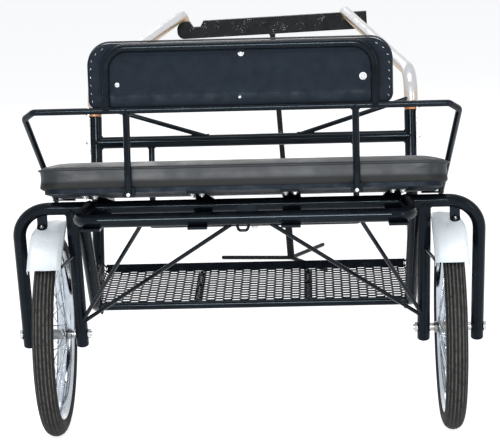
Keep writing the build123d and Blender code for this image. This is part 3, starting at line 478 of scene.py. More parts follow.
def chrome():
    made = Finish("bright_chrome", 0.1, 1.0)
    hue = shade("chrome")
    made.base(hue, dimmed(hue, 0.86), Scale=26.0)
    made.vary_gloss(0.05, 0.2, Scale=34.0)
    rust = effect(made.tree, "Chips", Scale=300.0, Amount=0.3, Gather=18.0)
    made.layer(maths(made.tree, "MULTIPLY", rust, 0.6), (0.30, 0.20, 0.12), 0.6)
    made.grain(900.0, 90.0, 0.0002, 0.4)
    return made.done()


def hub_steel():
    made = Finish("satin_hub_steel", 0.3, 1.0)
    made.base(shade("hub_steel"), (0.24, 0.21, 0.18), Scale=45.0, Low=0.4, High=0.75)
    made.vary_gloss(0.18, 0.45, Scale=60.0)
    made.grain(800.0, 300.0, 0.0002, 0.5, Stretch=(6, 1, 1))
    return made.done()


def zinc():
    made = Finish("zinc_plate", 0.28, 1.0)
    made.base(shade("zinc"), (0.44, 0.45, 0.47), Scale=60.0)
    made.vary_gloss(0.18, 0.42, Scale=90.0)
    made.grain(900.0, 200.0, 0.0002, 0.5)
    return made.done()


def vinyl():
    made = Finish("charcoal_seat_vinyl", 0.42, **{"Specular IOR Level": 0.26})
    hue = shade("vinyl")
    made.base(hue, dimmed(hue, 1.16), Scale=5.0, Low=0.3, High=0.7)
    made.vary_gloss(0.36, 0.5, Scale=14.0)
    made.dust(40.0, 0.05, (0.30, 0.30, 0.31))
    # painted shade: from a little under the top down to the underside, the cushion's sides are darkened to near black,
    # where they curve under away from the light
    height = add_node(made.tree, "ShaderNodeVectorMath", {0: here(made.tree), 1: SEAT_NORMAL},
                      operation="DOT_PRODUCT")
    below = maths(made.tree, "SUBTRACT", SEAT_NORMAL.dot(SEAT_TOP), height.outputs["Value"])
    start = settings().seat.painted_shade_start
    made.layer(ramp(made.tree, below, start, start + 0.008), (0.0050, 0.0055, 0.0060), 0.6)
    made.grain(620.0, 26.0, 0.0011, 0.35, Wave_Depth=0.9)
    return made.done()


def board():
    made = Finish("blue_black_board_cover", 0.5, **{
        "Specular IOR Level": 0.14, "Specular Tint": (0.75, 0.88, 1.0, 1.0)})
    hue = shade("board")
    made.base(hue, dimmed(hue, 1.35), Scale=7.0, Low=0.3, High=0.7)
    made.vary_gloss(0.42, 0.62, Scale=30.0)
    made.chips(360.0, 0.12, 11.0, (0.06, 0.064, 0.072), 0.6)
    made.grain(520.0, 38.0, 0.0007, 0.4, Wave_Depth=0.8)
    return made.done()


def aluminium():
    """Polished shaft tube: bright above; dull underneath, with a warm painted reflection of the ground there; a
    coppery painted reflection where it meets the post.
    """
    made = Finish("polished_shaft_aluminium", 0.2, 0.85)
    tree = made.tree
    made.base(shade("aluminium"), (0.52, 0.54, 0.57), Scale=9.0, Stretch=(1, 0.25, 1))
    made.vary_gloss(0.14, 0.34, Scale=30.0, Stretch=(1, 0.2, 1))
    # painted reflection: faces that look down turn tan, standing in for a warm ground reflected in the polished tube
    under = ramp(tree, upward_facing(tree), 0.42, -0.15)
    cloud = effect(tree, "Patches", Scale=14.0, Low=0.2, High=0.6, Stretch=(1, 0.3, 1))
    made.layer(maths(tree, "MULTIPLY", under, maths(tree, "ADD", cloud, 0.45, clamp=True)),
               shade("shaft_painted_reflection"), 0.45)
    # painted reflection: a coppery band low on the shafts, where they meet the posts, stands in for the brown ground
    # reflected there
    foot = ramp(tree, split(tree, here(tree))["Z"], 0.912, 0.892)
    made.layer(maths(tree, "MULTIPLY", foot, maths(tree, "ADD", cloud, 0.35, clamp=True)),
               (0.42, 0.20, 0.10), 0.5)
    made.grain(700.0, 70.0, 0.0002, 0.5, Stretch=(1, 0.2, 1))
    return made.done()


def fender_metal():
    made = Finish("silver_white_fender", 0.32, 0.15, **{"Coat Weight": 0.25, "Coat Roughness": 0.2})
    hue = shade("fender")
    made.base(hue, tuple(min(1, c * 1.1) for c in hue), Scale=10.0, Low=0.3, High=0.7)
    made.vary_gloss(0.26, 0.42, Scale=30.0)
    made.chips(260.0, 0.14, 14.0, (0.34, 0.34, 0.33), 0.6)
    made.grain(500.0, 30.0, 0.0005, 0.35)
    return made.done()


MAKERS = {
    "frame_paint": frame_paint, "stand_paint": stand_paint, "rubber": rubber, "chrome": chrome,
    "hub_steel": hub_steel, "zinc": zinc, "vinyl": vinyl, "board": board, "aluminium": aluminium,
    "fender_metal": fender_metal,
}
MADE = {}


def finish(name):
    """A finish of this cart, made the first time that it is asked for."""
    if name not in MADE:
        MADE[name] = MAKERS[name]()
    return MADE[name]


# ---------------------------------------------------------------- making pieces
def show(name, mesh):
    """An object for a mesh, at the origin."""
    made = bpy.data.objects.new(name, mesh)
    bpy.context.scene.collection.objects.link(made)
    return made


def smooth(mesh, sharp):
    mesh.shade_smooth()
    mesh.set_sharp_from_angle(angle=math.radians(sharp))


def face_out(mesh, merge=False):
    """Turns a closed mesh's faces outward, and merges its doubled points if asked."""
    shape = bmesh.new()
    shape.from_mesh(mesh)
    if merge:
        bmesh.ops.remove_doubles(shape, verts=shape.verts, dist=MERGE)
    bmesh.ops.recalc_face_normals(shape, faces=shape.faces)
    shape.to_mesh(mesh)
    shape.free()


def mesh_of(name, shape):
    """The mesh of a finished bmesh, which is freed."""
    mesh = bpy.data.meshes.new(name)
    shape.to_mesh(mesh)
    shape.free()
    return mesh


def from_bmesh(name, shape, sharp=38, outward=True):
    """An object from a bmesh, with merged points and outward faces."""
    bmesh.ops.remove_doubles(shape, verts=shape.verts, dist=MERGE)
    if outward:
        bmesh.ops.recalc_face_normals(shape, faces=shape.faces)
    mesh = mesh_of(name, shape)
    smooth(mesh, sharp)
    return show(name, mesh)


def fit(piece, body, slot, material, *nodes):
    """Gives a piece its finish, its body and the solids that it stands for."""
    if material:
        piece.data.materials.clear()
        piece.data.materials.append(finish(material))
    if nodes:
        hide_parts(*nodes)
    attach(piece, body)
    return piece


def grown(name, tree, start=None, turn=None, **values):
    """The plain mesh that a tree grows from a starting mesh, as an object."""
    source = show(name + "_seed", start or bpy.data.meshes.new(name + "_seed"))
    modifier = source.modifiers.new(tree.name, "NODES")
    modifier.node_group = tree
    known = {s.name: s.identifier for s in tree.interface.items_tree if s.in_out == "INPUT"}
    for label, value in values.items():
        modifier[known[label.replace("_", " ")]] = value
    bpy.context.view_layer.update()
    seen = source.evaluated_get(bpy.context.evaluated_depsgraph_get())
    mesh = bpy.data.meshes.new_from_object(seen)
    bpy.data.objects.remove(source)
    if turn:
        mesh.transform(turn)
    mesh.name = name
    if not mesh.polygons:
        raise RuntimeError(name + " came out empty")
    return show(name, mesh)


def outline_mesh(name, points):
    """A closed line of edges for a tree to grow along."""
    mesh = bpy.data.meshes.new(name)
    mesh.from_pydata([tuple(p) for p in points], [(i, (i + 1) % len(points)) for i in range(len(points))], [])
    return mesh


def points_mesh(name, points, **layers):
    """Loose points for a tree to place things on, with values on each."""
    mesh = bpy.data.meshes.new(name)
    mesh.from_pydata([tuple(p) for p in points], [], [])
    for label, values in layers.items():
        if hasattr(values[0], "__len__"):
            vectors = [part for value in values for part in value]
            mesh.attributes.new(label, "FLOAT_VECTOR", "POINT").data.foreach_set("vector", vectors)
        else:
            mesh.attributes.new(label, "FLOAT", "POINT").data.foreach_set("value", values)
    return mesh


TREES = {}


def tree_for(maker):
    if maker.__name__ not in TREES:
        TREES[maker.__name__] = maker()
    return TREES[maker.__name__]


def end_tree(tree, geometry, given, result):
    """Realizes what a tree has made and gives it its material."""
    real = node_out(tree, "GeometryNodeRealizeInstances", {0: geometry})
    coated = node_out(tree, "GeometryNodeSetMaterial", {0: real, "Material": given["Material"]})
    tree.links.new(coated, result["Geometry"])
    return tree


def ring_tree():
    """A section, drawn as radius and width, carried round an axle along X."""
    tree, given, result = geometry_tree("Ring Round An Axle", ("Segments", INTEGER), ("Centre", VECTOR))
    section = node_out(tree, "GeometryNodeMeshToCurve", {0: given["Geometry"]})
    unit = node_out(tree, "GeometryNodeCurvePrimitiveCircle", {"Resolution": given["Segments"], "Radius": 1.0})
    solid = node_out(tree, "GeometryNodeCurveToMesh", {
        "Curve": unit, "Profile Curve": section})
    parts = split(tree, node_out(tree, "GeometryNodeInputPosition"))
    flat = joined(tree, parts[0], parts[1])
    size = add_node(tree, "ShaderNodeVectorMath", {0: flat}, operation="LENGTH").outputs["Value"]
    radius = maths(tree, "SUBTRACT", size, 1.0)
    around = split(tree, node_out(tree, "ShaderNodeVectorMath", {0: flat}, operation="NORMALIZE"))
    standing = joined(tree, parts[2], maths(tree, "MULTIPLY", around[0], radius),
                      maths(tree, "MULTIPLY", around[1], radius))
    placed = node_out(tree, "ShaderNodeVectorMath", {0: standing, 1: given["Centre"]}, operation="ADD")
    moved = node_out(tree, "GeometryNodeSetPosition", {0: solid, "Position": placed})
    return end_tree(tree, moved, given, result)


def ring(name, section, centre, material, sharp, segments=None):
    """A ring round an axle from a closed section of (radius, width) points in millimetres."""
    points = [(r * MM, w * MM, 0) for r, w in section]
    made = grown(name, tree_for(ring_tree), outline_mesh(name + "_section", points),
                 Segments=segments or settings().wheels.segments, Centre=centre, Material=finish(material))
    face_out(made.data, merge=True)
    smooth(made.data, sharp)
    return made


def bolt_tree():
    """A washer, a six-sided head and a short end of thread at each point, facing the way it is told."""
    tree, given, result = geometry_tree("Bolts", ("Washer", FLOAT))

    def drum(sides, radius, depth, low):
        made = node_out(tree, "GeometryNodeMeshCylinder", {
            "Vertices": sides, "Radius": radius, "Depth": depth}, fill_type="NGON")
        return node_out(tree, "GeometryNodeTransform", {
            0: made, "Translation": (0, 0, low + depth / 2)})

    def crowned(sides, radius, depth, low):
        made = node_out(tree, "GeometryNodeMeshCone", {
            "Vertices": sides, "Radius Top": radius * 0.86, "Radius Bottom": radius, "Depth": depth},
            fill_type="NGON")
        return node_out(tree, "GeometryNodeTransform", {
            0: made, "Translation": (0, 0, low)})

    washer = node_out(tree, "GeometryNodeTransform", {
        0: drum(20, 1.62, 0.26, 0.0), "Scale": joined(tree, given["Washer"], given["Washer"], 1.0)})
    whole = add_node(tree, "GeometryNodeJoinGeometry")
    for part in (washer, drum(6, 1.0, 0.62, 0.26), crowned(6, 1.0, 0.12, 0.88), drum(10, 0.52, 0.3, 0.98),
                 crowned(10, 0.52, 0.1, 1.28)):
        tree.links.new(part, whole.inputs[0])
    size = attribute(tree, "size")
    turn = node_out(tree, "FunctionNodeAlignRotationToVector", {
        "Vector": attribute(tree, "facing", "FLOAT_VECTOR")}, axis="Z")
    rolled = node_out(tree, "FunctionNodeRotateRotation", {
        "Rotation": turn, "Rotate By": joined(tree, z=random_between(tree, 0.0, 6.28, 11))},
        rotation_space="LOCAL")
    cloud = node_out(tree, "GeometryNodeMeshToPoints", {0: given["Geometry"]})
    spread = node_out(tree, "GeometryNodeInstanceOnPoints", {
        "Points": cloud, "Instance": whole.outputs[0], "Rotation": rolled,
        "Scale": joined(tree, size, size, size)})
    return end_tree(tree, spread, given, result)


def bolts(name, rows, material="zinc", slot="zinc_fixings", washer=1.0):
    """Bolts from rows of (x, y, z, facing, half width of the head)."""
    start = points_mesh(name + "_places", [at(*row[:3]) for row in rows],
                        facing=[row[3] for row in rows], size=[row[4] * MM for row in rows])
    made = grown(name, tree_for(bolt_tree), start, Washer=washer, Material=finish(material))
    smooth(made.data, 30)
    return fit(made, "cart", slot, None)


def bead_tree():
    """Ripples of weld along a line."""
    tree, given, result = geometry_tree(
        "Weld Beads", ("Pitch", FLOAT, 0.004), ("Radius", FLOAT), ("Seed", INTEGER, 3))
    line = node_out(tree, "GeometryNodeMeshToCurve", {0: given["Geometry"]})
    dots = add_node(tree, "GeometryNodeCurveToPoints", {0: line, "Length": given["Pitch"]}, mode="LENGTH")
    drop = node_out(tree, "GeometryNodeMeshUVSphere", {"Segments": 8, "Rings": 5, "Radius": given["Radius"]})
    size = random_between(tree, 0.8, 1.25, given["Seed"])
    spread = node_out(tree, "GeometryNodeInstanceOnPoints", {
        "Points": dots.outputs[0], "Instance": drop, "Rotation": dots.outputs["Rotation"],
        "Scale": joined(tree, size, size, 0.9)})
    return end_tree(tree, spread, given, result)


def staple_tree():
    """Wire staples along a line, each turned a little differently."""
    tree, given, result = geometry_tree(
        "Staples", ("Pitch", FLOAT), ("Length", FLOAT), ("Wire", FLOAT, 0.0009), ("Seed", INTEGER, 7))
    line = node_out(tree, "GeometryNodeMeshToCurve", {0: given["Geometry"]})
    dots = node_out(tree, "GeometryNodeCurveToPoints", {0: line, "Length": given["Pitch"]}, mode="LENGTH")
    half = maths(tree, "MULTIPLY", given["Length"], 0.5)
    ends = {label: joined(tree, maths(tree, "MULTIPLY", half, share), lift) for label, share, lift in (
        ("Start", -1.0, 0.0006), ("Start Handle", -0.9, -0.0012), ("End Handle", 0.9, -0.0012), ("End", 1.0, 0.0006))}
    arc = node_out(tree, "GeometryNodeCurvePrimitiveBezierSegment", {"Resolution": 7, **ends})
    wire = node_out(tree, "GeometryNodeCurvePrimitiveCircle", {"Resolution": 6, "Radius": given["Wire"]})
    solid = node_out(tree, "GeometryNodeCurveToMesh", {
        "Curve": arc, "Profile Curve": wire, "Fill Caps": True})
    wobble = random_between(tree, -0.5, 0.5, given["Seed"])
    turn = joined(tree, y=maths(tree, "ADD", attribute(tree, "lean"), wobble))
    spread = node_out(tree, "GeometryNodeInstanceOnPoints", {
        "Points": dots, "Instance": solid, "Rotation": turn})
    return end_tree(tree, spread, given, result)


def piping_tree():
    """A round cord sewn along a line."""
    tree, given, result = geometry_tree("Piping", ("Radius", FLOAT))
    line = node_out(tree, "GeometryNodeMeshToCurve", {0: given["Geometry"]})
    section = node_out(tree, "GeometryNodeCurvePrimitiveCircle", {"Resolution": 10, "Radius": given["Radius"]})
    solid = node_out(tree, "GeometryNodeCurveToMesh", {"Curve": line, "Profile Curve": section})
    return end_tree(tree, solid, given, result)


def diamond_tree():
    """Expanded metal: wavy strands that meet at their crests, folded up at the front and the sides."""
    tree, given, result = geometry_tree(
        "Expanded Metal", ("Half Width", FLOAT), ("Side Lip", FLOAT), ("Run", FLOAT), ("Long Way", FLOAT),
        ("Short Way", FLOAT), ("Rows", INTEGER), ("Strand", FLOAT), ("Thickness", FLOAT), ("Tilt", FLOAT),
        ("Front Fold", FLOAT, 0.99), ("Side Fold", FLOAT, 0.99))
    reach = maths(tree, "ADD", given["Half Width"], given["Side Lip"])
    line = node_out(tree, "GeometryNodeCurvePrimitiveLine", {
        "Start": joined(tree, maths(tree, "MULTIPLY", reach, -1.0)), "End": joined(tree, reach)})
    fine = node_out(tree, "GeometryNodeResampleCurve", {
        0: line, "Length": maths(tree, "DIVIDE", given["Long Way"], 16.0)}, mode="LENGTH")
    along = split(tree, node_out(tree, "GeometryNodeInputPosition"))[0]
    turn = maths(tree, "DIVIDE", maths(tree, "MULTIPLY", along, math.tau), given["Long Way"])
    section = node_out(tree, "GeometryNodeCurvePrimitiveQuadrilateral", {
        "Width": given["Strand"], "Height": given["Thickness"]})
    strands = add_node(tree, "GeometryNodeJoinGeometry")
    for way in (-1.0, 1.0):
        crest = maths(tree, "MULTIPLY", maths(tree, "COSINE", turn), 3.0 * way)
        held = node_out(tree, "ShaderNodeClamp", {"Value": crest, "Min": -1.0, "Max": 1.0})
        shift = maths(tree, "MULTIPLY", held, maths(tree, "DIVIDE", given["Short Way"], 4.0))
        waved = node_out(tree, "GeometryNodeSetPosition", {
            0: fine, "Offset": joined(tree, y=shift)})
        leaned = node_out(tree, "GeometryNodeSetCurveTilt", {0: waved, "Tilt": given["Tilt"]})
        solid = node_out(tree, "GeometryNodeCurveToMesh", {
            "Curve": leaned, "Profile Curve": section, "Fill Caps": True})
        whole = add_node(tree, "GeometryNodeGeometryToInstance")
        tree.links.new(solid, whole.inputs[0])
        tree.links.new(whole.outputs[0], strands.inputs[0])
    rows = node_out(tree, "GeometryNodeMeshLine", {
        "Count": given["Rows"], "Offset": joined(tree, y=maths(tree, "DIVIDE", given["Short Way"], 2.0))})
    odd = node_out(tree, "FunctionNodeIntegerMath", {
        0: node_out(tree, "GeometryNodeInputIndex"), 1: 2}, operation="MODULO")
    spread = node_out(tree, "GeometryNodeInstanceOnPoints", {
        "Points": rows, "Instance": strands.outputs[0], "Pick Instance": True,
        "Instance Index": odd})
    flat = node_out(tree, "GeometryNodeRealizeInstances", {0: spread})
    now = split(tree, node_out(tree, "GeometryNodeInputPosition"))
    past = maths(tree, "MAXIMUM", maths(tree, "SUBTRACT", now[1], given["Run"]), 0.0)
    out = maths(tree, "SUBTRACT", maths(tree, "ABSOLUTE", now[0]), given["Half Width"])
    beside = maths(tree, "MAXIMUM", out, 0.0)
    back = maths(tree, "MULTIPLY", past, maths(tree, "SUBTRACT", maths(tree, "COSINE", given["Front Fold"]), 1.0))
    rise = maths(tree, "MULTIPLY", past, maths(tree, "SINE", given["Front Fold"]))
    inward = maths(tree, "MULTIPLY", maths(tree, "MULTIPLY", beside, maths(tree, "SIGN", now[0])),
                   maths(tree, "SUBTRACT", maths(tree, "COSINE", given["Side Fold"]), 1.0))
    lift = maths(tree, "MULTIPLY", beside, maths(tree, "SINE", given["Side Fold"]))
    bend = joined(tree, inward, back, maths(tree, "ADD", rise, lift))
    folded = node_out(tree, "GeometryNodeSetPosition", {0: flat, "Offset": bend})
    return end_tree(tree, folded, given, result)


# ---------------------------------------------------------------- pieces
class CartOperator:
    bl_options = {"REGISTER", "UNDO"}

    def execute(self, context):
        self.make(settings())
        return {"FINISHED"}


CAD_FINISHES = {
    "frame_paint": (
        "arm_rail", "axle_arch", "back_hoop", "outer_stays", "inner_stays", "floor_members", "floor_rear_tube",
        "front_crossbar", "hanger_bar", "hanger_struts", "inner_legs", "leg_plugs", "seat_carrier", "side_tubes",
        "singletree", "vee_braces", "seat_springs", "rail_supports", "rail_gusset", "tie_loop", "fender_tabs",
        "fender_stays", "pivot_washer", "floor_lip"),
    "stand_paint": ("stand_bar", "stand_pole", "stand_sleeve", "stand_legs", "stand_fork"),
    "aluminium": ("shaft_left", "shaft_right"),
    "zinc": ("axles", "axle_nuts", "axle_spacers", "pivot_bolt", "shaft_straps"),
    "chrome": ("spokes_left", "spokes_right"),
    "board": ("seat_board",),
}


class CART_OT_frame_finishes(CartOperator, Operator):
    """Gives each solid of the frame, shafts and stand its finish"""

    bl_idname = "horse_cart.frame_finishes"
    bl_label = "Frame Finishes"

    def make(self, sizes):
        for name, nodes in CAD_FINISHES.items():
            for node in nodes:
                mesh = NODES[node].data
                mesh.materials.clear()
                mesh.materials.append(finish(name))


SPOKE_LEAN, NIPPLE_LENGTH, NIPPLE_REACH, NIPPLE_OFFSET = 0.115, 0.014, 0.2255, 0.008
VALVE_TURN = 2.5
VALVE_STEPS = ((0.238, 0.232, 0.0062), (0.232, 0.212, 0.0042), (0.212, 0.203, 0.0050))
BEAD_SEAT = [(249.0, 15.5), (246.0, 13.0)]


def mirrored(section):
    """The points of a section on the other side of the wheel's middle, in the opposite order."""
    return [(r, -w) for r, w in reversed(section)]


def outward_turn(direction):
    """The matrix that turns +Z to a direction."""
    return direction.to_track_quat("Z", "Y").to_matrix().to_4x4()


class CART_OT_wheels(CartOperator, Operator):
    """Makes the grooved tyres, rolled rims, spun hubs, nipples and valves"""

    bl_idname = "horse_cart.wheels"
    bl_label = "Wheels"

    def tyre_section(self, wheels):
        """The tyre's section: grooved tread, round sidewalls and two beads."""
        half = TYRE_WIDTH / MM / 2
        middle = WHEEL_RADIUS / MM - half
        depth = wheels.groove_depth / MM
        edge = wheels.groove_width / 2
        step = wheels.groove_spread / (wheels.grooves - 1)
        rib = 0.9
        turns = [(math.radians(degrees), half + (rib if degrees == -88 else 0))
                 for degrees in (-128, -112, -95, -88, -81, -70)]
        for i in range(wheels.grooves):
            centre = -wheels.groove_spread / 2 + i * step
            turns += [(centre - edge, half), (centre - edge * 0.55, half - depth),
                      (centre + edge * 0.55, half - depth), (centre + edge, half)]
            if i < wheels.grooves - 1:
                turns.append((centre + step / 2, half))
        turns += [(-t, r) for t, r in reversed(turns[:6])]
        inset = rib / 2
        scale = (half - inset) / half
        outer = [(middle + r * scale * math.cos(t) + inset, r * scale * math.sin(t)) for t, r in turns]
        return outer + BEAD_SEAT + mirrored(BEAD_SEAT)

    def rim_section(self):
        """The rim's section: two rolled edges, two walls and a dropped middle."""
        upper = [(254.2, 22.6), (255.2, 24.0), (254.0, 25.0), (251.6, 24.6), (249.0, 22.2), (244.5, 20.2),
                 (239.8, 17.4), (235.6, 11.8), (233.6, 6.4), (233.0, 0.0)]
        inner = [(235.2, 0.0), (235.9, 5.8), (237.6, 10.4), (241.6, 15.6), (245.8, 18.2), (250.4, 20.6)]
        return upper + mirrored(upper[:-1]) + mirrored(inner)[:-1] + inner

    def make(self, sizes):
        low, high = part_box("hub_right")
        half_hub = (high.x - low.x) / 2 / MM
        flange = half_hub - 16
        hub_half = [(8.3, half_hub), (12.0, half_hub), (14.4, half_hub - 1.0), (15.0, half_hub - 4.0),
                    (17.5, flange + 5.0), (24.0, flange + 2.4), (30.4, flange + 2.0), (32.0, flange + 1.0),
                    (32.0, flange - 1.0), (30.4, flange - 2.0), (24.0, flange - 2.6), (19.4, flange - 5.0),
                    (16.8, flange - 10.0), (15.6, 10.0), (15.4, 0.0)]
        hub = hub_half + mirrored(hub_half[:-1])
        for side, sign in (("left", -1), ("right", 1)):
            body = "wheel_" + side
            centre = Vector((sign * WHEEL_CENTRE.x, AXLE_Y, WHEEL_CENTRE.z))
            tyre = ring("tread_" + side, self.tyre_section(sizes.wheels), centre, "rubber", sharp=24)
            fit(tyre, body, "tyre_rubber", None, "tyre_" + side)
            rim = ring("rolled_rim_" + side, self.rim_section(), centre, "chrome", sharp=60)
            fit(rim, body, "chromed_rim", None, "rim_" + side)
            spun = ring("spun_hub_" + side, hub, centre, "hub_steel", sharp=35, segments=48)
            fit(spun, body, "hub_metal", None, "hub_" + side)
            self.nipples(side, centre, sizes.wheels.nipple)
            self.valve(side, centre)

    def nipples(self, side, centre, radius):
        """One nipple where each spoke meets the rim."""
        number = len(loose_parts(NODES["spokes_" + side].data))
        shape = bmesh.new()
        for i in range(number):
            turn = math.tau * i / number
            lean = SPOKE_LEAN * (-1 if i % 2 else 1)
            out = Vector((0, -math.sin(turn), math.cos(turn)))
            axis = (out + Vector((lean, 0, 0))).normalized()
            foot = centre + out * NIPPLE_REACH + Vector((-lean * NIPPLE_OFFSET, 0, 0))
            bmesh.ops.create_cone(shape, segments=8, cap_ends=True, radius1=radius * 0.72, radius2=radius,
                                  depth=NIPPLE_LENGTH, matrix=Matrix.Translation(foot) @ outward_turn(axis))
        fit(from_bmesh("nipples_" + side, shape), "wheel_" + side, "chromed_rim", "zinc")

    def valve(self, side, centre):
        """The tyre's valve stem, which points at the hub."""
        shape = bmesh.new()
        out = Vector((0, math.sin(VALVE_TURN), math.cos(VALVE_TURN)))
        for start, end, wide in VALVE_STEPS:
            place = Matrix.Translation(centre + out * (start + end) / 2) @ outward_turn(-out)
            bmesh.ops.create_cone(shape, segments=14, cap_ends=True, radius1=wide, radius2=wide * 0.9,
                                  depth=start - end, matrix=place)
        fit(from_bmesh("valve_" + side, shape), "wheel_" + side, "tyre_rubber", "rubber")


def loose_parts(mesh):
    """The separate shells of a mesh, each as its points, once doubled points are merged."""
    shape = bmesh.new()
    shape.from_mesh(mesh)
    bmesh.ops.remove_doubles(shape, verts=shape.verts, dist=MERGE)
    left, parts = set(shape.verts), []
    while left:
        start = left.pop()
        part, stack = [start.co.copy()], [start]
        while stack:
            for edge in stack.pop().link_edges:
                for other in edge.verts:
                    if other in left:
                        left.remove(other)
                        part.append(other.co.copy())
                        stack.append(other)
        parts.append(part)
    shape.free()
    return parts


SHEET = 0.003
SIDE_LIP = 0.036
MESH_EDGE_GAP, MESH_BACK_GAP, MESH_LIFT = 0.002, 0.004, 0.0022


class CART_OT_mesh_floor(CartOperator, Operator):
    """Makes the floor of expanded metal with its turned-up front and sides"""

    bl_idname = "horse_cart.mesh_floor"
    bl_label = "Mesh Floor"

    def make(self, sizes):
        low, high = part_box("floor_mesh")
        slope = math.atan((high.z - low.z - SHEET) / (high.y - low.y))
        lip_low, lip_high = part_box("floor_lip")
        run = (high.y - low.y) / math.cos(slope)
        lip = math.hypot(lip_high.y - lip_low.y, lip_high.z - lip_low.z) - MESH_EDGE_GAP
        floor = sizes.floor
        rows = int((run + lip) / (floor.short_way / 2))
        place = Matrix.Translation((0, low.y + MESH_BACK_GAP, low.z + MESH_LIFT)) @ Matrix.Rotation(slope, 4, "X")
        made = grown("expanded_metal_floor", tree_for(diamond_tree), turn=place,
                     Half_Width=high.x - MESH_EDGE_GAP, Side_Lip=SIDE_LIP, Run=run - MESH_BACK_GAP,
                     Long_Way=floor.long_way, Short_Way=floor.short_way, Rows=rows, Strand=floor.strand,
                     Thickness=floor.thickness, Tilt=floor.tilt, Material=finish("frame_paint"))
        fit(made, "cart", "black_paint", None, "floor_mesh", "floor_side_lips")


def rounded_outline(half_x, half_y, upper, lower, steps):
    """Points round a rectangle with rounded corners, anticlockwise, with their own radius at the lower ones."""
    points = []
    for k, (sx, sy) in enumerate(((1, 1), (-1, 1), (-1, -1), (1, -1))):
        corner = upper if sy > 0 else lower
        for i in range(steps + 1):
            turn = math.pi / 2 * (k + i / steps)
            points.append((sx * (half_x - corner) + corner * math.cos(turn),
                           sy * (half_y - corner) + corner * math.sin(turn)))
    return points


def skin(shape, rows, closed=True):
    """Faces between each row of points and the next."""
    for first, second in zip(rows, rows[1:]):
        for i in range(len(first) if closed else len(first) - 1):
            j = (i + 1) % len(first)
            shape.faces.new((first[i], first[j], second[j], second[i]))


def pad_mesh(name, outline, levels):
    """A closed form from one outline and rows of (height, inset); the ends are filled by shrinking rings."""
    shape = bmesh.new()
    rings = []
    cx = max(x for x, _ in outline)
    cy = max(y for _, y in outline)
    for height, inset in levels:
        rings.append([shape.verts.new((x * (1 - inset / cx), y * (1 - inset / cy), height)) for x, y in outline])
    skin(shape, rings)
    shape.faces.new(list(reversed(rings[0])))
    shape.faces.new(rings[-1])
    bmesh.ops.recalc_face_normals(shape, faces=shape.faces)
    return show(name, mesh_of(name, shape))


COVER_CLOTH = {"quality": 5, "mass": 0.3, "tension_stiffness": 18, "compression_stiffness": 18,
               "bending_stiffness": 1.5}
COVER_PRESSURE = 4.0
SEAM_REACH = 1.6


def puffed(piece, sizes, seams):
    """Swells a foam form as cloth, held along its seams, and caps how far any point has moved."""
    cell = sizes.seat.cell
    remesh = piece.modifiers.new("Even Cells", "REMESH")
    remesh.mode = "VOXEL"
    remesh.voxel_size = cell
    replace_mesh(piece)
    start = [v.co.copy() for v in piece.data.vertices]
    held = piece.vertex_groups.new(name="sewn")
    for i, co in enumerate(start):
        near = min(abs(co.z - z) for z in seams)
        held.add([i], max(0.0, 1.0 - near / (cell * SEAM_REACH)), "REPLACE")
    cloth = piece.modifiers.new("Cover", "CLOTH")
    for name, value in COVER_CLOTH.items():
        setattr(cloth.settings, name, value)
    cloth.settings.use_pressure = True
    cloth.settings.uniform_pressure_force = COVER_PRESSURE
    cloth.settings.effector_weights.gravity = 0
    cloth.settings.vertex_group_mass = "sewn"
    cloth.collision_settings.use_self_collision = False
    cloth.point_cache.frame_start = 1
    cloth.point_cache.frame_end = sizes.seat.steps
    scene = bpy.context.scene
    for step in range(1, sizes.seat.steps + 1):
        scene.frame_set(step)
    seen = piece.evaluated_get(bpy.context.evaluated_depsgraph_get())
    swollen = [v.co.copy() for v in seen.data.vertices]
    piece.modifiers.clear()
    piece.vertex_groups.clear()
    cap = sizes.seat.swell_cap
    for vertex, old, new in zip(piece.data.vertices, start, swollen):
        move = new - old
        if move.length > cap:
            move *= cap / move.length
        vertex.co = old + move
    scene.frame_set(1)
    finer = piece.modifiers.new("Finer", "SUBSURF")
    finer.levels = finer.render_levels = 1
    replace_mesh(piece)


def replace_mesh(piece):
    """Applies every modifier of a piece."""
    seen = piece.evaluated_get(bpy.context.evaluated_depsgraph_get())
    mesh = bpy.data.meshes.new_from_object(seen)
    piece.modifiers.clear()
    piece.data = mesh


def seat_frame():
    """The matrix that takes a level cushion, centred on its top face, to its place on the sloping seat."""
    tilt = math.atan2(SEAT_NORMAL.y, SEAT_NORMAL.z)
    return Matrix.Translation(SEAT_TOP) @ Matrix.Rotation(-tilt, 4, "X")


CUSHION_HALF_DEPTH, CUSHION_THICK, CUSHION_CORNER = 0.220, 0.066, 0.060
CUSHION_SEAM, BACKREST_SEAM = 0.013, 0.014
PIPING_OUT = 0.0006


def piping_line(outline, half_x, half_y, seam):
    """The line of the piping, a little outside a seam."""
    return [Vector((x * (1 + PIPING_OUT / half_x), y * (1 + PIPING_OUT / half_y), seam)) for x, y in outline]


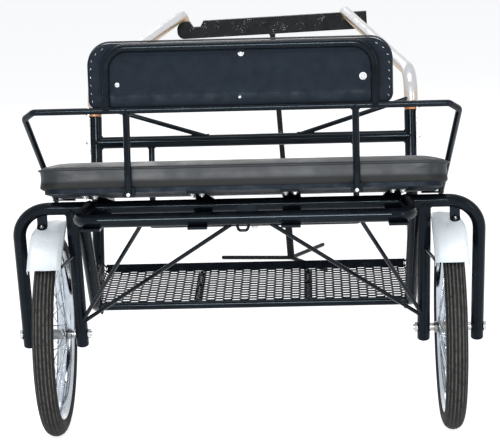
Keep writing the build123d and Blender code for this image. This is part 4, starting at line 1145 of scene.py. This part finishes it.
class CART_OT_seat(CartOperator, Operator):
    """Makes the padded cushion and backrest, sewn covers and piping"""

    bl_idname = "horse_cart.seat"
    bl_label = "Seat And Backrest"

    def make(self, sizes):
        self.cushion(sizes)
        self.backrest(sizes)

    def cushion(self, sizes):
        low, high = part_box("seat_cushion")
        half_x = (high.x - low.x) / 2 + sizes.seat.overhang
        half_y, deep, corner = CUSHION_HALF_DEPTH, CUSHION_THICK, CUSHION_CORNER
        pull, crown = sizes.seat.pull_in, sizes.seat.crown
        outline = rounded_outline(half_x, half_y, corner, corner, 12)
        seam = -CUSHION_SEAM
        # (height, inset) from the underside to the middle of the top
        levels = [(-deep, 0.012), (-deep, 0.0035), (-deep + 0.004, 0.0012), (-deep + 0.012, pull * 0.35),
                  (-deep / 2, pull * 0.55), (seam - 0.006, pull * 0.35), (seam, pull * 0.15),
                  (seam + 0.004, pull * 0.45), (-0.004, pull * 0.9), (-0.0005, 0.020), (crown * 0.3, 0.046),
                  (crown * 0.6, 0.090), (crown * 0.85, 0.140), (crown, 0.200)]
        pad = pad_mesh("padded_seat_cushion", outline, levels)
        puffed(pad, sizes, (-deep, seam))
        pad.data.transform(seat_frame())
        smooth(pad.data, 180)
        fit(pad, "cart", "black_vinyl", "vinyl", "seat_cushion")
        cord = [seat_frame() @ p for p in piping_line(outline, half_x, half_y, seam)]
        self.piping("cushion_piping", cord, sizes.seat.piping)

    def backrest(self, sizes):
        low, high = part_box("back_pad")
        centre = (low + high) / 2
        half_x, half_z, deep = (high.x - low.x) / 2, (high.z - low.z) / 2, high.y - low.y
        pull, crown = sizes.seat.pull_in, sizes.seat.crown
        outline = rounded_outline(half_x, half_z, BACK_CORNER, BACK_LOWER_CORNER, 12)
        seam = deep - BACKREST_SEAM
        # (distance from the board, inset), from the board to the front
        levels = [(0.0, 0.014), (0.0, 0.004), (0.004, 0.0015), (0.012, pull * 0.3), (seam - 0.006, pull * 0.35),
                  (seam, pull * 0.15), (seam + 0.004, pull * 0.5), (deep - 0.004, pull * 0.9),
                  (deep - 0.0005, 0.018), (deep + crown * 0.35, 0.034), (deep + crown * 0.5, 0.060)]
        pad = pad_mesh("padded_backrest", outline, levels)
        puffed(pad, sizes, (0.0, seam))
        upright = Matrix.Rotation(math.pi / 2, 4, "X") @ Matrix.Scale(-1, 4, (0, 0, 1))
        stand = Matrix.Translation((centre.x, low.y, centre.z)) @ upright
        pad.data.transform(stand)
        face_out(pad.data)
        smooth(pad.data, 180)
        fit(pad, "cart", "black_vinyl", "vinyl", "back_pad")
        cord = [stand @ p for p in piping_line(outline, half_x, half_z, seam)]
        self.piping("backrest_piping", cord, sizes.seat.piping)

    def piping(self, name, points, radius):
        made = grown(name, tree_for(piping_tree), outline_mesh(name + "_line", points), Radius=radius,
                     Material=finish("vinyl"))
        smooth(made.data, 180)
        fit(made, "cart", "black_vinyl", None)


STAPLE_INSET, STAPLE_LIFT, STAPLE_FLOOR = 0.009, 0.0006, 0.012


class CART_OT_backrest_board(CartOperator, Operator):
    """Makes the backrest's covered board with its rolled rim and staples"""

    bl_idname = "horse_cart.backrest_board"
    bl_label = "Backrest Board"

    def make(self, sizes):
        low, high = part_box("back_board")
        centre = (low + high) / 2
        half_x, half_z = (high.x - low.x) / 2, (high.z - low.z) / 2
        shape = bmesh.new()
        outline = rounded_outline(half_x, half_z, BACK_CORNER, BACK_LOWER_CORNER, 14)
        rows = []
        # (inset, Y) from the pad's side round the rolled rim to the flat middle
        for inset, y in ((0.0002, high.y), (0.0, high.y - 0.003), (0.0, low.y + 0.004), (0.0008, low.y + 0.0014),
                         (0.0026, low.y + 0.0003), (0.0055, low.y), (0.030, low.y + 0.0002),
                         (0.034, low.y + 0.0016), (0.036, low.y + 0.0018), (0.060, low.y + 0.0016)):
            rows.append([shape.verts.new((centre.x + x * (1 - inset / half_x), y, centre.z + z * (1 - inset / half_z)))
                         for x, z in outline])
        skin(shape, rows)
        shape.faces.new(rows[0])
        shape.faces.new(rows[-1])
        fit(from_bmesh("covered_back_board", shape, 30), "cart", "black_board", "board", "back_board")
        fixing = sizes.fixings
        shape = bmesh.new()
        lean = shape.verts.layers.float.new("lean")
        for sign in (-1, 1):
            end = [(x, z) for x, z in outline if sign * x > HOOP_HIGH.x + 0.002 and z > -half_z + STAPLE_FLOOR]
            last = None
            for x, z in sorted(end, key=lambda point: point[1]):
                vert = shape.verts.new((centre.x + x * (1 - STAPLE_INSET / half_x), low.y - STAPLE_LIFT,
                                        centre.z + z * (1 - STAPLE_INSET / half_z)))
                vert[lean] = 1.2 - 1.1 * sign * min(1.0, max(0.0, z / half_z))
                if last:
                    shape.edges.new((last, vert))
                last = vert
        made = grown("back_staples", tree_for(staple_tree), mesh_of("staple_line", shape),
                     Pitch=fixing.staple_pitch, Length=fixing.staple_length, Material=finish("zinc"))
        fit(made, "cart", "zinc_fixings", None)


FENDER_HALF_WIDTH, FENDER_RADIUS, FENDER_WALL, FENDER_FLAP = 0.0485, 0.3705, 0.0022, 0.016
FENDER_FRONT, FENDER_REAR = math.radians(101), math.radians(136.5)
OUTER_CORNER_ALONG, OUTER_CORNER_ACROSS, INNER_CORNER = 0.116, 0.062, 0.014
FENDER_ROLL, FENDER_ROLL_WIDTH, FENDER_CROWN, FLAP_START = 0.0035, 0.012, 0.0008, 0.0045
LUG_HALF, LUG_STRAIGHT, LUG_TOP, LUG_BOTTOM, LUG_BOLT = 0.015, 0.010, 0.0035, -0.0005, 0.013


class CART_OT_fenders(CartOperator, Operator):
    """Makes the rolled fenders with their rounded front corners and turned-down edges"""

    bl_idname = "horse_cart.fenders"
    bl_label = "Fenders"

    def make(self, sizes):
        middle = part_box("fenders")[1].x - FENDER_HALF_WIDTH
        shape = bmesh.new()
        across, along = 26, 34
        for sign in (-1, 1):
            rows = []
            for j in range(along + 1):
                share = j / along
                turn = FENDER_FRONT + (FENDER_REAR - FENDER_FRONT) * share
                reach = FENDER_RADIUS * (math.cos(FENDER_FRONT) - math.cos(turn))
                cut = 1 - min(1.0, reach / OUTER_CORNER_ALONG)
                x_out = FENDER_HALF_WIDTH - OUTER_CORNER_ACROSS * (1 - math.sqrt(max(0.0, 1 - cut * cut)))
                x_in = -FENDER_HALF_WIDTH + corner_inset(reach, INNER_CORNER)
                row = []
                for i in range(across + 1):
                    u = i / across
                    edge = min(u, 1 - u) * (x_out - x_in)
                    roll = FENDER_ROLL * max(0.0, 1 - edge / FENDER_ROLL_WIDTH) ** 2
                    drop = roll + FENDER_CROWN * math.cos(math.pi * (u - 0.5) * 2)
                    x = x_in + (x_out - x_in) * u
                    row.append(self.spot(sign, middle + x, turn, FENDER_RADIUS - drop))
                flap = FENDER_FLAP * min(1.0, 0.25 + share * 3)
                for deep in (flap * 0.4, flap):
                    edge = FENDER_RADIUS - FLAP_START - deep
                    row.append(self.spot(sign, middle + x_out, turn, edge))
                    row.insert(0, self.spot(sign, middle + x_in, turn, edge))
                rows.append([shape.verts.new(p) for p in row])
            skin(shape, rows, closed=False)
        bmesh.ops.recalc_face_normals(shape, faces=shape.faces)
        made = from_bmesh("rolled_fenders", shape, 50, outward=False)
        wall = made.modifiers.new("Wall", "SOLIDIFY")
        wall.thickness = FENDER_WALL
        wall.offset = -1
        face_up(made.data)
        replace_mesh(made)
        smooth(made.data, 50)
        fit(made, "cart", "bright_aluminium", "fender_metal", "fenders")
        self.lugs()

    def spot(self, sign, x, turn, radius):
        return (sign * x, AXLE_Y + radius * math.cos(turn), WHEEL_CENTRE.z + radius * math.sin(turn))

    def lugs(self):
        """A rounded lug that lies over each fender's front corner, below the arch's tab."""
        low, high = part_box("fender_tabs")
        half = LUG_HALF
        middle = high.x - half
        start = math.acos((low.y - AXLE_Y) / FENDER_RADIUS)
        turns = [math.pi * i / 12 for i in range(1, 12)]
        outline = [(half, 0.0), (half, LUG_STRAIGHT)]
        outline += [(half * math.cos(t), LUG_STRAIGHT + half * math.sin(t)) for t in turns]
        outline += [(-half, LUG_STRAIGHT), (-half, 0.0)]
        shape = bmesh.new()
        for sign in (-1, 1):
            rings = [[shape.verts.new(self.spot(sign, middle + x, start + reach / FENDER_RADIUS, FENDER_RADIUS + lift))
                      for x, reach in outline] for lift in (LUG_BOTTOM, LUG_TOP)]
            skin(shape, rings)
            for edge in rings:
                shape.faces.new(edge)
        fit(from_bmesh("fender_lugs", shape, 40), "cart", "black_paint", "frame_paint")
        turn = start + LUG_BOLT / FENDER_RADIUS
        x, y, z = self.spot(1, middle, turn, FENDER_RADIUS + LUG_TOP)
        rows = [(sign * x / MM, (y - AXLE_Y) / MM, z / MM, (0, math.cos(turn), math.sin(turn)), 5.0)
                for sign in (-1, 1)]
        bolts("fender_bolts", rows, washer=0.8)


def corner_inset(reach, radius):
    """How far a corner of this radius draws the edge in, at a distance from its end."""
    if reach >= radius:
        return 0.0
    return radius - math.sqrt(radius ** 2 - (radius - reach) ** 2)


def face_up(mesh):
    """Makes the faces of a sheet look upwards."""
    for face in mesh.polygons:
        if abs(face.normal.z) > 0.3:
            if face.normal.z < 0:
                mesh.flip_normals()
            return


SPRING_X, SPRING_HOLES = (-422, -128, 128, 422), (-13, 13)
SEAT_SLOPE, RAIL_SLOPE, STRAP_SETBACK, FLOOR_BOLT_LIFT = 0.218, 0.0586, 15, 0.009
BACKREST_BOLTS = ((-331, 1104, 3.9), (5, 1182, 4.9), (-1, 1064, 4.6), (331, 1113, 6.2))
DOWN_SEAT, UP_FLOOR = (0, -0.21, -0.98), (0, -0.145, 0.989)


class CART_OT_fixings(CartOperator, Operator):
    """Adds bolts, nuts and washers where the cart is bolted together"""

    bl_idname = "horse_cart.fixings"
    bl_label = "Fixings"

    def make(self, sizes):
        back, up = (0, -1, 0), (0, 0, 1)
        board = (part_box("back_board")[0].y - AXLE_Y) / MM + 1.8
        bolts("backrest_bolts", [(x, board, z, back, size) for x, z, size in BACKREST_BOLTS])
        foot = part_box("rail_supports")[0]
        foot_y = (foot.y - AXLE_Y) / MM
        foot_z = foot.z / MM + 9
        bolts("support_bolts", [(x, foot_y - 0.2, foot_z, back, 3.2) for x in (-309, 309)])
        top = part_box("seat_springs")[1].z / MM
        for name, facing, rows in (
                ("spring_seat_bolts", DOWN_SEAT, [(y, top - 7.6 - (y + 435) * SEAT_SLOPE) for y in (-405, -372)]),
                ("spring_rail_bolts", up, [(-352, 703.2 - (-352 + 400) * RAIL_SLOPE + 3.0)])):
            bolts(name, [(x + dx, y, z, facing, 5.0) for x in SPRING_X for y, z in rows for dx in SPRING_HOLES])
        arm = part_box("arm_rail")[0].z / MM
        bolts("arm_foot_bolts", [(s * 541, -52, arm - 0.4, DOWN_SEAT, 6.5) for s in (-1, 1)], washer=0.9)
        low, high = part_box("shaft_straps")
        slope = (high.y - low.y) / (high.z - low.z)
        rows = []
        for drop in (22, 112):
            y = ((high.y - drop * MM * slope * 0.9) - AXLE_Y) / MM - STRAP_SETBACK
            rows += [(s * (high.x / MM + 0.1), y, high.z / MM - drop, (s, 0, 0), 6.0) for s in (-1, 1)]
        bolts("strap_bolts", rows)
        low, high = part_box("floor_members")
        rows = []
        for x in (-169, 169):
            for share in (0.14, 0.5, 0.86):
                y = low.y + (high.y - low.y) * share
                z = low.z + (high.z - low.z) * share + FLOOR_BOLT_LIFT
                rows.append((x, (y - AXLE_Y) / MM, z / MM, UP_FLOOR, 5.0))
        bolts("floor_bolts", rows, material="frame_paint", slot="black_paint")


SADDLE_STEPS = 44


def saddle(centre, axis, radius, lean_to, other_radius):
    """Where a thin tube's skin meets a thicker tube: a closed line round the thin one."""
    axis = axis.normalized()
    lean_to = lean_to.normalized()
    side = axis.cross(lean_to).normalized()
    third = side.cross(axis).normalized()
    points = []
    for i in range(SADDLE_STEPS):
        turn = math.tau * i / SADDLE_STEPS
        off = side * (radius * math.cos(turn)) + third * (radius * math.sin(turn))
        across = off - lean_to * off.dot(lean_to)
        along = axis - lean_to * axis.dot(lean_to)
        a, b = along.dot(along), 2 * across.dot(along)
        c = across.dot(across) - other_radius ** 2
        under = b * b - 4 * a * c
        reach = (-b + math.sqrt(max(0.0, under))) / (2 * a)
        points.append(centre + off + axis * reach)
    return points


class CART_OT_welds(CartOperator, Operator):
    """Lays weld beads round the tube joints"""

    bl_idname = "horse_cart.welds"
    bl_label = "Welds"

    def make(self, sizes):
        tube, thin, rod = 19.0, 12.5, 9.0
        arch_z, arch_tilt = 708.0, math.radians(15.27)
        cross_y, cross_z = 586.5, 792.0
        lines = []

        def joint(x, y, z, axis, radius, lean_to, other):
            lines.append(saddle(at(x, y, z), Vector(axis), radius * MM, Vector(lean_to), other * MM))

        across = (1, 0, 0)
        # a place, the thin tube's direction and radius, then the direction and radius of the tube it meets
        for s in (-1, 1):
            joint(s * 511, -110, arch_z, (0, math.sin(arch_tilt), -math.cos(arch_tilt)), tube, across, tube)
            joint(s * 458, -110, arch_z, (0, -0.9983, 0.0585), tube, across, tube)
            joint(s * 484, -110, arch_z, (-s * 0.0088, 0.5723, -0.82), tube, across, tube)
            joint(s * 509, cross_y, cross_z, (-s, 0, 0), tube, (0, 0.2088, 0.978), tube)
            joint(s * 330, cross_y, cross_z, (0, -0.21, -0.978), 10, across, tube)
            joint(s * 330, 535.5, 553, (0, 0.21, 0.978), 10, across, thin)
            joint(s * 108, cross_y, cross_z, (s * 0.93, 0.03, 0.28), 7.5, across, tube)
            joint(s * 294 + 18, -400, 725, (s * 0.36, 0.72, -0.71), 6, across, tube)
            joint(s * 309, -448, 1036, (0, 0.09, -0.995), 9.5, across, rod)
            joint(s * 362, -448, 1036, (0, 0, 1), 11, across, rod)
            joint(s * 480, 150, 342, (-s, 0, 0), thin, (0, 0.99, 0.14), tube)
        made_lines = bmesh.new()
        for points in lines:
            verts = [made_lines.verts.new(p) for p in points]
            for i, vert in enumerate(verts):
                made_lines.edges.new((vert, verts[(i + 1) % len(verts)]))
        made = grown("weld_beads", tree_for(bead_tree), mesh_of("weld_lines", made_lines),
                     Radius=sizes.fixings.weld_bead, Material=finish("frame_paint"))
        smooth(made.data, 180)
        fit(made, "cart", "black_paint", None)


LAMPS = (
    # name, place, aim, width, depth, watts
    ("key", (-0.25, -7.2, 3.1), (0, 0.0, 0.6), 2.5, 1.4, 430),
    ("side", (4.6, -3.4, 2.0), (0, 0.0, 0.6), 0.9, 2.6, 45),
    ("overhead", (0.0, -0.4, 5.0), (0, -0.2, 0.0), 3.0, 1.0, 55),
    ("front", (-1.5, 6.0, 3.4), (0, 1.0, 0.6), 3.0, 2.0, 50),
)
FLOOR_GLOW, WORLD_STRENGTH = 0.75, 0.22


class CART_OT_stage(CartOperator, Operator):
    """Sets up the camera, soft studio lamps, white surroundings and pale floor"""

    bl_idname = "horse_cart.stage"
    bl_label = "Stage"

    def make(self, sizes):
        scene = bpy.context.scene
        self.camera(sizes.stage, scene)
        self.floor(sizes.stage)
        self.world(scene)
        for lamp in LAMPS:
            self.lamp(*lamp)
        scene.view_settings.view_transform = "Standard"

    def camera(self, stage, scene):
        data = bpy.data.cameras.new("studio_camera")
        data.lens = stage.focal
        data.sensor_width = 36.0
        data.clip_end = 200.0
        place = Vector(stage.camera_place)
        yaw, pitch, roll = stage.yaw, stage.pitch, stage.roll
        ahead = Vector((-math.sin(yaw) * math.cos(pitch), math.cos(yaw) * math.cos(pitch), -math.sin(pitch)))
        right = Vector((math.cos(yaw), math.sin(yaw), 0.0))
        upward = right.cross(ahead)
        level_right = right * math.cos(roll) - upward * math.sin(roll)
        level_up = upward * math.cos(roll) + right * math.sin(roll)
        turn = Matrix((level_right, level_up, -ahead)).transposed()
        made = bpy.data.objects.new("studio_camera", data)
        scene.collection.objects.link(made)
        made.matrix_world = Matrix.Translation((place.x, AXLE_Y + place.y, place.z)) @ turn.to_4x4()
        scene.camera = made

    def lamp(self, name, place, aim, wide, deep, power):
        data = bpy.data.lights.new(name, "AREA")
        data.shape = "RECTANGLE"
        data.size, data.size_y, data.energy = wide, deep, power
        made = bpy.data.objects.new(name, data)
        bpy.context.scene.collection.objects.link(made)
        start = Vector((place[0], AXLE_Y + place[1], place[2]))
        goal = Vector((aim[0], AXLE_Y + aim[1], aim[2]))
        made.matrix_world = Matrix.Translation(start) @ (goal - start).to_track_quat("-Z", "Y").to_matrix().to_4x4()

    def floor(self, stage):
        half = stage.floor_size / 2
        mesh = bpy.data.meshes.new("studio_floor")
        mesh.from_pydata([(-half, -half, 0), (half, -half, 0), (half, half, 0), (-half, half, 0)], [], [(0, 1, 2, 3)])
        made = show("studio_floor", mesh)
        material = bpy.data.materials.new("pale_studio_floor")
        material.use_nodes = True
        tree = material.node_tree
        tree.nodes.clear()
        matt = node_out(tree, "ShaderNodeBsdfDiffuse", {"Color": (0.92, 0.92, 0.92, 1)})
        glow = node_out(tree, "ShaderNodeEmission", {"Color": (1, 1, 1, 1), "Strength": FLOOR_GLOW})
        both = node_out(tree, "ShaderNodeAddShader", {0: matt, 1: glow})
        pick = node_out(tree, "ShaderNodeMixShader", {0: self.seen(tree), 1: matt, 2: both})
        add_node(tree, "ShaderNodeOutputMaterial", {"Surface": pick})
        mesh.materials.append(material)

    def seen(self, tree):
        """Whether the camera sees the surroundings, directly or in metal or glass."""
        path = add_node(tree, "ShaderNodeLightPath").outputs
        mirrored = maths(tree, "MAXIMUM", path["Is Glossy Ray"], path["Is Transmission Ray"])
        return maths(tree, "MAXIMUM", path["Is Camera Ray"], mirrored)

    def world(self, scene):
        surroundings = bpy.data.worlds.new("studio_surroundings")
        scene.world = surroundings
        surroundings.use_nodes = True
        tree = surroundings.node_tree
        tree.nodes.clear()
        soft = node_out(tree, "ShaderNodeBackground", {"Color": (0.84, 0.91, 1.0, 1), "Strength": WORLD_STRENGTH})
        white = node_out(tree, "ShaderNodeBackground", {"Color": (1, 1, 1, 1), "Strength": 1.0})
        pick = node_out(tree, "ShaderNodeMixShader", {0: self.seen(tree), 1: soft, 2: white})
        add_node(tree, "ShaderNodeOutputWorld", {"Surface": pick})


PIECES = (CART_OT_frame_finishes, CART_OT_wheels, CART_OT_mesh_floor, CART_OT_seat, CART_OT_backrest_board,
          CART_OT_fenders, CART_OT_fixings, CART_OT_welds)


class CART_PT_panel(Panel):
    """Lists the pieces of the cart and their sizes and colours"""

    bl_idname = "CART_PT_panel"
    bl_label = "Horse Cart"
    bl_space_type = "VIEW_3D"
    bl_region_type = "UI"
    bl_category = "Horse Cart"

    def draw(self, context):
        chosen = settings()
        for operator in (*PIECES, CART_OT_stage):
            self.layout.operator(operator.bl_idname)
        for group in (chosen.finish, chosen.seat, chosen.floor, chosen.wheels, chosen.fixings, chosen.stage):
            box = self.layout.box()
            for name in group.__annotations__:
                box.prop(group, name)


CLASSES = (CartFinishSettings, CartSeatSettings, CartFloorSettings, CartWheelSettings, CartFixingSettings,
           CartStageSettings, CartSettings, *PIECES, CART_OT_stage, CART_PT_panel)


def register():
    for made in CLASSES:
        bpy.utils.register_class(made)
    bpy.types.Scene.horse_cart = PointerProperty(type=CartSettings)


def unregister():
    del bpy.types.Scene.horse_cart
    for made in reversed(CLASSES):
        bpy.utils.unregister_class(made)


def main():
    register()
    for operator in (CART_OT_stage, *PIECES):
        group, name = operator.bl_idname.split(".")
        getattr(getattr(bpy.ops, group), name)()
    bpy.context.view_layer.update()


if __name__ == "__main__":
    main()
